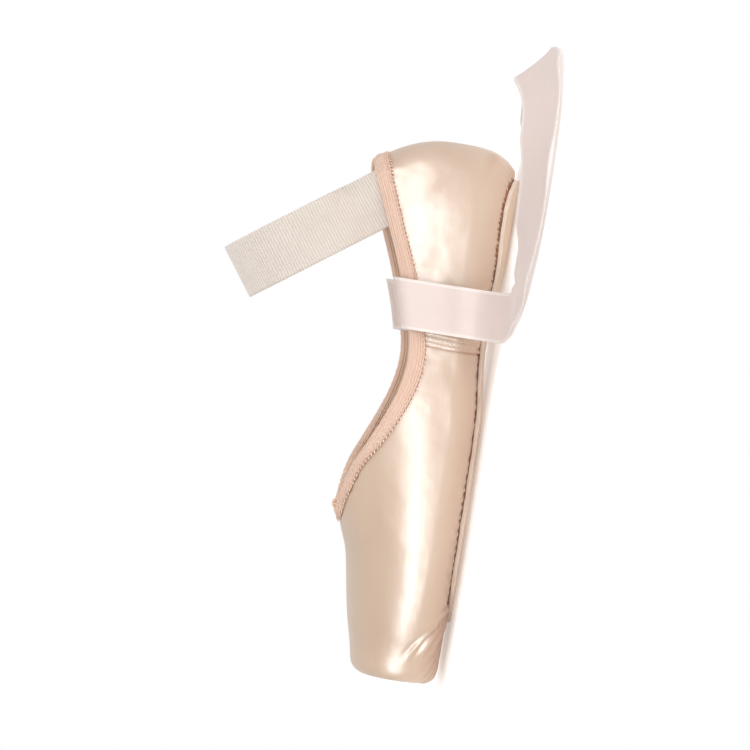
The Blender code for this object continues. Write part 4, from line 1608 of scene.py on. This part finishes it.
def sewInsole(material):
    # One row round its rim
    rows = []
    for distance in endSpaced(0.016, insoleLook["length"] - 0.004, 140):
        crown, half = insoleAt(distance)
        x = half - insoleLook["seamInset"]
        rows.append((max(x, 0.0), distance, float(crown) - dentAt(x, distance, insoleLook["ballDent"])))
    rows = np.array(rows)
    line = np.vstack([rows, rows[::-1] * np.array([-1, 1, 1]), rows[:1]])
    outward = np.tile([0.0, 0.0, 1.0], (len(line), 1))
    sew("insole_stitches", [(line, outward)], "insole", material, "sock")


def sewnPatch(rows, lift):
    # Four sides of a sewn patch, with directions that face the middle of the shoe
    loop = np.vstack([rows[:, 0], rows[-1, 1:], rows[::-1, -1][1:], rows[0, ::-1][1:]])
    inward = np.zeros_like(loop)
    inward[:, 0] = -np.sign(loop[:, 0])
    return loop + inward * (0.0002 + lift), inward


def sewRibbons(material):
    # Small whip stitches round the end sewn inside the collar
    lines = []
    crown = float(read(collarCurve, ribbon["station"]))
    for side, route in ((-1, leftRibbonRoute), (1, rightRibbonRoute)):
        rows = smoothPath(ribbonRows(side, route)[:5], 8)
        sheet = acrossFour(rows, np.linspace(-0.44, 0.44, 9))
        kept = sheet[:, 4, 2] < crown - binding["width"] - 0.001
        lines.append(sewnPatch(sheet[kept][1:], ribbon["shownThickness"] / 2))
    sew("ribbon_stitches", lines, "ribbon", material, "ribbon_satin")


def sewElastic(inner, material):
    wide = slice(2, -2, 2)
    lines = [sewnPatch(part, pressed) for part in (inner[4:34, wide], inner[-34:-4, wide])]
    sew("elastic_stitches", lines, "elastic", material, "elastic_webbing")


# Drawstring: twisted cord, tied on the binding at the bottom of the throat

knot = {
    "width": 0.0068,
    "depth": 0.0040,
    "height": 0.0040,
    "strand": 0.00082,
    "ply": 0.00046,
    "twist": 17,
    "samples": 420,
    "sides": 10,
    "lean": math.radians(24),
    "above": 0.38,  # share of its height that its middle stands over the tape's crown
}


def makeKnot(centre, materials):
    # An overhand knot pulled tight, lying back against the tape
    turn = np.linspace(0, 2 * math.pi, knot["samples"], endpoint=False)
    wide = knot["width"] / 2 - knot["strand"]
    deep = knot["depth"] / 2 - knot["strand"] * 0.7
    high = knot["height"] / 2 - knot["strand"]
    path = np.stack([
        wide * (np.sin(turn) + 2 * np.sin(2 * turn)) / 2.7,
        deep * (np.cos(turn) - 2 * np.cos(2 * turn)) / 3,
        high * (-np.sin(3 * turn)) + 0.25 * high * np.cos(turn),
    ], axis=1)
    tilt, raised = math.cos(knot["lean"]), math.sin(knot["lean"])
    path = path @ np.array([[1, 0, 0], [0, tilt, -raised], [0, raised, tilt]])
    tangent = unit(aroundRing(path))
    away = unit(np.cross(tangent, unit(path)))
    beside = np.cross(tangent, away)
    path = path + np.array(centre)
    strips, faces = [], []
    for ply in range(2):
        phase = (knot["twist"] * turn + ply * math.pi)[:, None]
        offset = (knot["strand"] - knot["ply"]) * (np.cos(phase) * away + np.sin(phase) * beside)
        ring = tubePoints(path + offset, knot["ply"], knot["sides"], closed=True)
        base = ply * knot["samples"] * knot["sides"]
        new = gridFaces(len(ring), knot["sides"], closed=True)
        faces += [tuple(base + j for j in face) for face in new]
        strips.append(ring)
    piece = makePiece("drawstring_knot", np.concatenate(strips), faces, materials)
    settle(piece, "drawcord", "drawstring")


# Materials

def newSurface(name, values):
    # A material with one Principled shader, whose plain sockets are set here
    material = bpy.data.materials.new(name)
    material.use_nodes = True
    shader = material.node_tree.nodes["Principled BSDF"]
    for socket, value in values.items():
        shader.inputs[socket].default_value = value
    return material, material.node_tree, shader


def stretched(tree, place, length, width, detail=2.0, seed=0.0):
    # Noise drawn out along the cloth: its length and width are real sizes in metres
    mapped = addNode(tree, "ShaderNodeMapping", {
        "Vector": place, "Scale": (1 / length, 1 / width, 1 / width), "Location": (seed, seed, 0.0),
    }).outputs["Vector"]
    return addNode(
        tree, "ShaderNodeTexNoise", {"Vector": mapped, "Scale": 1.0, "Detail": detail}
    ).outputs["Fac"]


def between(tree, value, low, high):
    # A noise value spread over a range
    return addNode(tree, "ShaderNodeMapRange", {
        "Value": value, "From Min": 0.3, "From Max": 0.7, "To Min": low, "To Max": high,
    }).outputs["Result"]


def mixed(tree, factor, first, second):
    # Colour between two hex colours, or sockets
    inputs = {"Factor": factor}
    inputs[6] = first if isinstance(first, bpy.types.NodeSocket) else linear(first)
    inputs[7] = second if isinstance(second, bpy.types.NodeSocket) else linear(second)
    return addNode(tree, "ShaderNodeMix", inputs, data_type="RGBA").outputs[2]


def bumped(tree, shader, heights):
    # Bumps in turn, each (height, distance in metres, strength)
    normal = None
    for height, distance, strength in heights:
        inputs = {"Height": height, "Distance": distance, "Strength": strength}
        if normal is not None:
            inputs["Normal"] = normal
        normal = addNode(tree, "ShaderNodeBump", inputs).outputs["Normal"]
    tree.links.new(normal, shader.inputs["Normal"])


def threads(tree, place, spacing, direction):
    # Ridges of parallel threads across a cloth's u or v
    return addNode(tree, "ShaderNodeTexWave", {
        "Vector": place, "Scale": math.pi / (spacing * 10), "Distortion": 0.6, "Detail": 1.0,
    }, bands_direction=direction).outputs["Fac"]


# Real floats are about 0.1 mm wide: they are drawn coarser, so that they show
satinLook = {
    "colour": "#D0B59E",
    "shade": "#C6A98F",
    # colour of the painted shade in seams, pleats, under the binding and low down
    "paintedShade": "#B5846A",
    "floatLength": 0.016,
    "floatWidth": 0.0005,
    "roughness": (0.31, 0.46),
    "slack": 0.0009,
}
# The tape's ribs, real about 0.5 mm apart, are drawn coarser so that they show
tapeLook = {
    "colour": "#EACBB8",
    "shade": "#DBB096",
    "floatLength": 0.004,
    "floatWidth": 0.0006,
    "roughness": (0.46, 0.60),
    "slack": 0.0007,
    "ribSpacing": 0.0011,
}
ribbonLook = {
    "colour": "#DFCEC7",
    "shade": "#D8C4BC",
    "floatLength": 0.030,
    "floatWidth": 0.0006,
    "roughness": (0.40, 0.50),
    "slack": 0.0006,
    "selvedge": (0.0094, 0.0099),
    "edge": "#E6DAD4",
}


def satinWoven(name, look, values):
    # Satin weave of filament yarn: long floats side by side, so that light runs in a soft
    # bright streak along them, and small pulls in the cloth show as faint lines
    material, tree, shader = newSurface(name, values)
    cloth = addNode(tree, "ShaderNodeTexCoord").outputs["UV"]
    solid = addNode(tree, "ShaderNodeTexCoord").outputs["Object"]
    floats = stretched(tree, cloth, look["floatLength"], look["floatWidth"], 3.0)
    fine = stretched(tree, cloth, look["floatLength"] / 4, look["floatWidth"] / 2.2, 2.0, 3.0)
    cloud = addNode(tree, "ShaderNodeTexNoise", {"Vector": solid, "Scale": 26.0, "Detail": 2.0})
    tone = between(tree, cloud.outputs["Fac"], 0.0, 0.75)
    colour = mixed(tree, tone, look["colour"], look["shade"])
    streak = between(tree, floats, 0.0, 0.30)
    colour = mixed(tree, streak, colour, look["shade"])
    # Painted shade: the stored shade draws the satin's colour towards its painted shade colour in
    # seams, pleats, under the binding and towards the outsole
    if "paintedShade" in look:
        depth = addNode(tree, "ShaderNodeAttribute", attribute_name="shade").outputs["Fac"]
        colour = mixed(tree, depth, colour, look["paintedShade"])
    bumps = []
    if "ribSpacing" in look:
        ribs = threads(tree, cloth, look["ribSpacing"], "Y")
        colour = mixed(tree, between(tree, ribs, 0.6, 0.0), colour, look["shade"])
        bumps.append((ribs, 0.0003, 0.6))
    if "selvedge" in look:
        # Woven edge: a narrow band of plain weave, paler than the satin face
        across = addNode(tree, "ShaderNodeSeparateXYZ", {0: cloth}).outputs["Y"]
        across = addNode(tree, "ShaderNodeMath", {0: across}, operation="ABSOLUTE").outputs[0]
        inner, outer = look["selvedge"]
        edge = addNode(tree, "ShaderNodeMapRange", {
            "Value": across, "From Min": inner, "From Max": outer,
        }).outputs["Result"]
        colour = mixed(tree, edge, colour, look["edge"])
    tree.links.new(colour, shader.inputs["Base Color"])
    tree.links.new(between(tree, floats, *look["roughness"]), shader.inputs["Roughness"])
    slack = addNode(tree, "ShaderNodeTexNoise", {"Vector": solid, "Scale": 95.0, "Detail": 1.5})
    bumped(tree, shader, bumps + [
        (slack.outputs["Fac"], look["slack"], 0.5),
        (floats, 0.00010, 0.45),
        (fine, 0.00005, 0.45),
    ])
    run = addNode(tree, "ShaderNodeAttribute", attribute_name="thread").outputs["Vector"]
    tree.links.new(run, shader.inputs["Tangent"])
    return material


def makeMaterials():
    made = {}
    # Peach satin drawn tight over the block: broad white gleam, painted shade, warm, in seams, pleats
    # and turned parts
    made["satin"] = satinWoven("satin, woven and lasted", satinLook, {
        "Specular IOR Level": 1.0, "IOR": 1.58, "Anisotropic": 0.5,
        "Sheen Weight": 0.10, "Sheen Roughness": 0.45, "Coat Weight": 0.25, "Coat Roughness": 0.32,
    })
    # The same satin cut on the bias and folded: duller, pinker, with broken threads
    made["tape"] = satinWoven("satin tape, cut on the bias", tapeLook, {
        "Specular IOR Level": 0.55, "IOR": 1.55, "Anisotropic": 0.25,
        "Sheen Weight": 0.25, "Sheen Roughness": 0.5,
    })
    # Nylon ribbon, satin-faced with woven edges: pale pink, smooth and a little shiny
    made["ribbon"] = satinWoven("satin ribbon, woven nylon", ribbonLook, {
        "Specular IOR Level": 0.65, "IOR": 1.53, "Anisotropic": 0.5,
        "Sheen Weight": 0.15, "Sheen Roughness": 0.4,
    })
    made["lining"] = plainCloth("cotton drill, plain woven", "#F6ECDF", "#EADDCB", 0.0010)
    made["sock"] = plainCloth("cotton sock cloth, plain woven", "#F0E3D1", "#E3D1B8", 0.0013)
    made["elastic"] = elasticWoven()
    made["leather"] = leatherBuffed()
    made["leatherEdge"] = leatherCut()
    made["cord"] = cordTwisted()
    for key, name, colour, roughness in (
        ("thread", "polyester thread, spun and matched", "#E2C0A6", 0.45),
        # The tape's thread, drawn darker as painted shade of the holes that it sinks into
        ("tapeThreadHoleShade", "polyester thread, spun and sunk in the tape", "#CF9C7C", 0.5),
        ("paleThread", "polyester thread, spun and pale", "#F6DCC8", 0.40),
        ("darkThread", "linen thread, waxed dark", "#6A4029", 0.55),
        ("rustThread", "linen thread, waxed rust", "#C67A42", 0.55),
        # The outsole's seam line: dark glue, with painted shadow of the gap between satin and leather
        ("glueAndShadowLine", "glue line and painted shadow gap", "#74493A", 0.6),
    ):
        made[key] = threadSpun(name, colour, roughness)
    print("materials made")
    return made


def plainCloth(name, colour, shade, spacing):
    # Plain weave of spun cotton: matt, with a small even check of threads.
    material, tree, shader = newSurface(name, {
        "Roughness": 0.88, "IOR": 1.5, "Specular IOR Level": 0.25,
        "Sheen Weight": 0.3, "Sheen Roughness": 0.6,
    })
    cloth = addNode(tree, "ShaderNodeTexCoord").outputs["UV"]
    warp, weft = (threads(tree, cloth, spacing, way) for way in "XY")
    check = addNode(tree, "ShaderNodeMath", {0: warp, 1: weft}, operation="MULTIPLY").outputs[0]
    blotch = stretched(tree, cloth, 0.011, 0.008, 3.0)
    tone = mixed(tree, between(tree, blotch, 0.0, 0.8), colour, shade)
    tone = mixed(tree, between(tree, check, 0.25, 0.0), tone, shade)
    tree.links.new(tone, shader.inputs["Base Color"])
    bumped(tree, shader, [(check, 0.00022, 0.8), (blotch, 0.0005, 0.3)])
    return material


def elasticWoven():
    # Rubber cords under a woven cotton cover: cream, matt, finely ribbed across
    material, tree, shader = newSurface("elastic, woven over rubber cords", {
        "Roughness": 0.82, "IOR": 1.5, "Specular IOR Level": 0.3,
        "Sheen Weight": 0.25, "Sheen Roughness": 0.5,
    })
    cloth = addNode(tree, "ShaderNodeTexCoord").outputs["UV"]
    cover = threads(tree, cloth, 0.0007, "Y")
    blotch = stretched(tree, cloth, 0.02, 0.01, 2.0)
    ribs = threads(tree, cloth, elastic["ribSpacing"], "X")
    tone = mixed(tree, between(tree, blotch, 0.0, 0.7), "#EAE0D8", "#E1D6CC")
    tone = mixed(tree, between(tree, ribs, 0.45, 0.0), tone, "#C6B6A6")
    tree.links.new(tone, shader.inputs["Base Color"])
    bumped(tree, shader, [(cover, 0.00005, 0.4)])
    return material


def leatherBuffed():
    # Split cowhide, buffed with sandpaper: dull, short nap, darker where it was handled
    material, tree, shader = newSurface("cowhide, split and buffed", {
        "Roughness": 0.86, "IOR": 1.5, "Specular IOR Level": 0.3,
        "Sheen Weight": 0.35, "Sheen Roughness": 0.5,
    })
    place = addNode(tree, "ShaderNodeTexCoord").outputs["Object"]
    nap = addNode(tree, "ShaderNodeTexNoise", {"Vector": place, "Scale": 1500.0, "Detail": 3.0})
    patch = addNode(tree, "ShaderNodeTexNoise", {"Vector": place, "Scale": 38.0, "Detail": 4.0})
    pore = addNode(tree, "ShaderNodeTexVoronoi", {"Vector": place, "Scale": 700.0})
    brushed = stretched(tree, place, 0.0009, 0.012, 2.0)
    colour = mixed(tree, between(tree, patch.outputs["Fac"], 0.0, 1.0), "#DFC7B1", "#C9AA90")
    colour = mixed(tree, between(tree, brushed, 0.0, 0.35), colour, "#DCC2AC")
    tree.links.new(colour, shader.inputs["Base Color"])
    tree.links.new(between(tree, patch.outputs["Fac"], 0.78, 0.95), shader.inputs["Roughness"])
    bumped(tree, shader, [
        (pore.outputs["Distance"], 0.00015, 0.35),
        (nap.outputs["Fac"], 0.00016, 0.6),
        (brushed, 0.0001, 0.4),
    ])
    return material


def leatherCut():
    # The same hide's cut edge, rubbed down: greyer, with fibres that run along it
    material, tree, shader = newSurface("cowhide, cut edge", {
        "Roughness": 0.7, "IOR": 1.5, "Specular IOR Level": 0.4,
    })
    place = addNode(tree, "ShaderNodeTexCoord").outputs["Object"]
    fibre = addNode(tree, "ShaderNodeMapping", {"Vector": place, "Scale": (300.0, 90.0, 2600.0)})
    fibre = addNode(
        tree, "ShaderNodeTexNoise", {"Vector": fibre.outputs["Vector"], "Scale": 1.0, "Detail": 3.0}
    ).outputs["Fac"]
    tone = mixed(tree, between(tree, fibre, 0.0, 1.0), "#EBDCCD", "#D6C2B0")
    tree.links.new(tone, shader.inputs["Base Color"])
    bumped(tree, shader, [(fibre, 0.0002, 0.6)])
    return material


def cordTwisted():
    # Two-ply cotton cord: cream and peach plies, soft and matt
    material, tree, shader = newSurface("cotton cord, twisted", {
        "Roughness": 0.85, "IOR": 1.5, "Specular IOR Level": 0.3,
        "Sheen Weight": 0.3, "Sheen Roughness": 0.5,
    })
    place = addNode(tree, "ShaderNodeTexCoord").outputs["Object"]
    fuzz = addNode(tree, "ShaderNodeTexNoise", {"Vector": place, "Scale": 2600.0, "Detail": 2.0})
    patch = addNode(tree, "ShaderNodeTexNoise", {"Vector": place, "Scale": 420.0, "Detail": 1.0})
    tone = mixed(tree, between(tree, patch.outputs["Fac"], 0.0, 1.0), "#F4DCC8", "#E4B495")
    tree.links.new(tone, shader.inputs["Base Color"])
    bumped(tree, shader, [(fuzz.outputs["Fac"], 0.0001, 0.6)])
    return material


def threadSpun(name, colour, roughness):
    # Fine thread: its twist is too small to show, so it's drawn as a soft grain
    material, tree, shader = newSurface(name, {
        "Base Color": linear(colour), "Roughness": roughness, "IOR": 1.53, "Specular IOR Level": 0.5,
    })
    place = addNode(tree, "ShaderNodeTexCoord").outputs["Object"]
    grain = addNode(tree, "ShaderNodeTexNoise", {"Vector": place, "Scale": 3000.0, "Detail": 2.0})
    bumped(tree, shader, [(grain.outputs["Fac"], 0.00006, 0.6)])
    return material


# Studio: pale floor, soft lights, white surroundings

studio = {
    "floorRadius": 1.6,
    "floorSides": 96,
    "floorDrop": 0.0003,
    "floorFade": (0.22, 0.70),
    "surround": 0.42,
    "mirrored": 0.65,  # the surround as gloss shows it
    "glow": 0.30,
    "aim": (0.0, 0.0, 0.03),
    "lights": (
        # name, elevation and turn towards the toe in degrees, distance, size across and
        # along, slant of the long side towards the floor at the toe, watts, what it does
        ("key gleam", 16, -11, 1.5, (0.42, 1.10), 13, 14.0, "gleam"),
        ("toe gleam", 10, 30, 1.5, (0.32, 1.30), 12, 15.0, "gleam"),
        ("low gleam", 3.2, 30, 2.0, (0.14, 2.0), 0, 11.0, "gleam"),
        ("heel gleam", 30, -52, 1.5, (0.9, 0.9), 0, 17.0, "gleam"),
        ("front", 20, 0, 1.8, (1.0, 1.4), 0, 3.6, "fill"),
        ("heel", 14, -62, 1.7, (0.8, 1.0), 0, 8.5, "fill"),
        ("toe", 28, 48, 1.7, (0.8, 1.0), 0, 6.2, "fill"),
        ("overhead", 84, 180, 1.6, (1.1, 1.4), 0, 9.5, "fill"),
        ("back", 26, 165, 1.8, (0.8, 1.4), 0, 5.0, "fill"),
    ),
}


def makeStudio():
    bpy.ops.mesh.primitive_circle_add(
        vertices=studio["floorSides"], radius=studio["floorRadius"], fill_type="NGON"
    )
    floor = bpy.context.object
    floor.name = "floor"
    # White paper lit from beneath, so that shadows on it stay soft and pale
    white = (1.0, 1.0, 1.0, 1.0)
    material, tree, shader = newSurface("paper sweep", {
        "Base Color": linear("#F7F6F5"), "Roughness": 0.9,
        "Emission Color": white, "Emission Strength": studio["glow"],
    })
    near, far = studio["floorFade"]
    place = addNode(tree, "ShaderNodeTexCoord").outputs["Object"]
    away = addNode(tree, "ShaderNodeVectorMath", {0: place}, operation="LENGTH").outputs["Value"]
    fade = addNode(tree, "ShaderNodeMapRange", {
        "Value": away, "From Min": near, "From Max": far, "To Min": 1.0, "To Max": 0.0,
    }, interpolation_type="SMOOTHSTEP").outputs["Result"]
    tree.links.new(fade, shader.inputs["Alpha"])
    floor.data.materials.append(material)
    floor.location.z = -studio["floorDrop"]
    world = bpy.data.worlds.new("studio")
    bpy.context.scene.world = world
    world.use_nodes = True
    tree = world.node_tree
    backdrop = tree.nodes["Background"]
    backdrop.inputs["Color"].default_value = white
    seen = addNode(tree, "ShaderNodeLightPath").outputs
    gloss = addNode(tree, "ShaderNodeMapRange", {
        "Value": seen["Is Glossy Ray"], "To Min": studio["surround"], "To Max": studio["mirrored"],
    }).outputs["Result"]
    strength = addNode(
        tree, "ShaderNodeMath", {0: seen["Is Camera Ray"], 1: gloss}, operation="MAXIMUM"
    ).outputs[0]
    tree.links.new(strength, backdrop.inputs["Strength"])
    for name, elevation, azimuth, distance, size, slant, watts, task in studio["lights"]:
        data = bpy.data.lights.new(name, "AREA")
        data.shape = "RECTANGLE"
        data.size, data.size_y = size
        data.energy = watts
        light = placed(name, data)
        light.visible_glossy = task == "gleam"
        light.visible_diffuse = task == "fill"
        height, turned = math.radians(elevation), math.radians(azimuth)
        level = math.cos(height)
        away = Vector((-level * math.cos(turned), level * math.sin(turned), math.sin(height)))
        across = Vector((0.0, 1.0, 0.0)).cross(away).normalized()
        across = Matrix.Rotation(math.radians(slant), 3, away) @ across
        stand(light, across, away.cross(across), away, Vector(studio["aim"]) + away * distance)
    bpy.context.scene.view_settings.view_transform = "Standard"
    print("studio made")


def build():
    makeCamera()
    made = makeMaterials()
    makeRibbon("ribbon_left", -1, leftRibbonRoute, 0.7, [made["ribbon"]])
    makeRibbon("ribbon_right", 1, rightRibbonRoute, 2.1, [made["ribbon"]])
    rays = planRays(upper["toeColumns"], upper["sideColumns"], upper["heelColumns"], upper["crowd"])
    ring, edges = ringReach(rays), collarEdges(rays)
    makeUpper(rays, ring, edges, [made["satin"], made["lining"]])
    strips, at = evenAround(bindingStrips(rays, ring, edges), bindingLook["columns"])
    tape, tapeNormal = makeBinding(strips, at, [made["tape"]])
    crown = tape[:, bindingLook["faceRows"] + bindingLook["crownRows"] // 2]
    _, front, top = crown[int(np.argmax(crown[:, 1]))]
    makeKnot((0.0, front, top + knot["above"] * knot["height"]), [made["cord"]])
    makeOutsole([made["leather"], made["leatherEdge"]])
    makeSoleSeam(made["glueAndShadowLine"])
    makeInsole([made["sock"]])
    band = makeElastic([made["elastic"]])
    sewSideSeams(made["thread"])
    sewBinding(tape, tapeNormal, made["tapeThreadHoleShade"], made["paleThread"])
    sewOutsole(made["darkThread"], made["rustThread"])
    makeToeHooks(made["darkThread"])
    sewInsole(made["thread"])
    sewRibbons(made["paleThread"])
    sewElastic(band, made["paleThread"])
    makeStudio()


build()
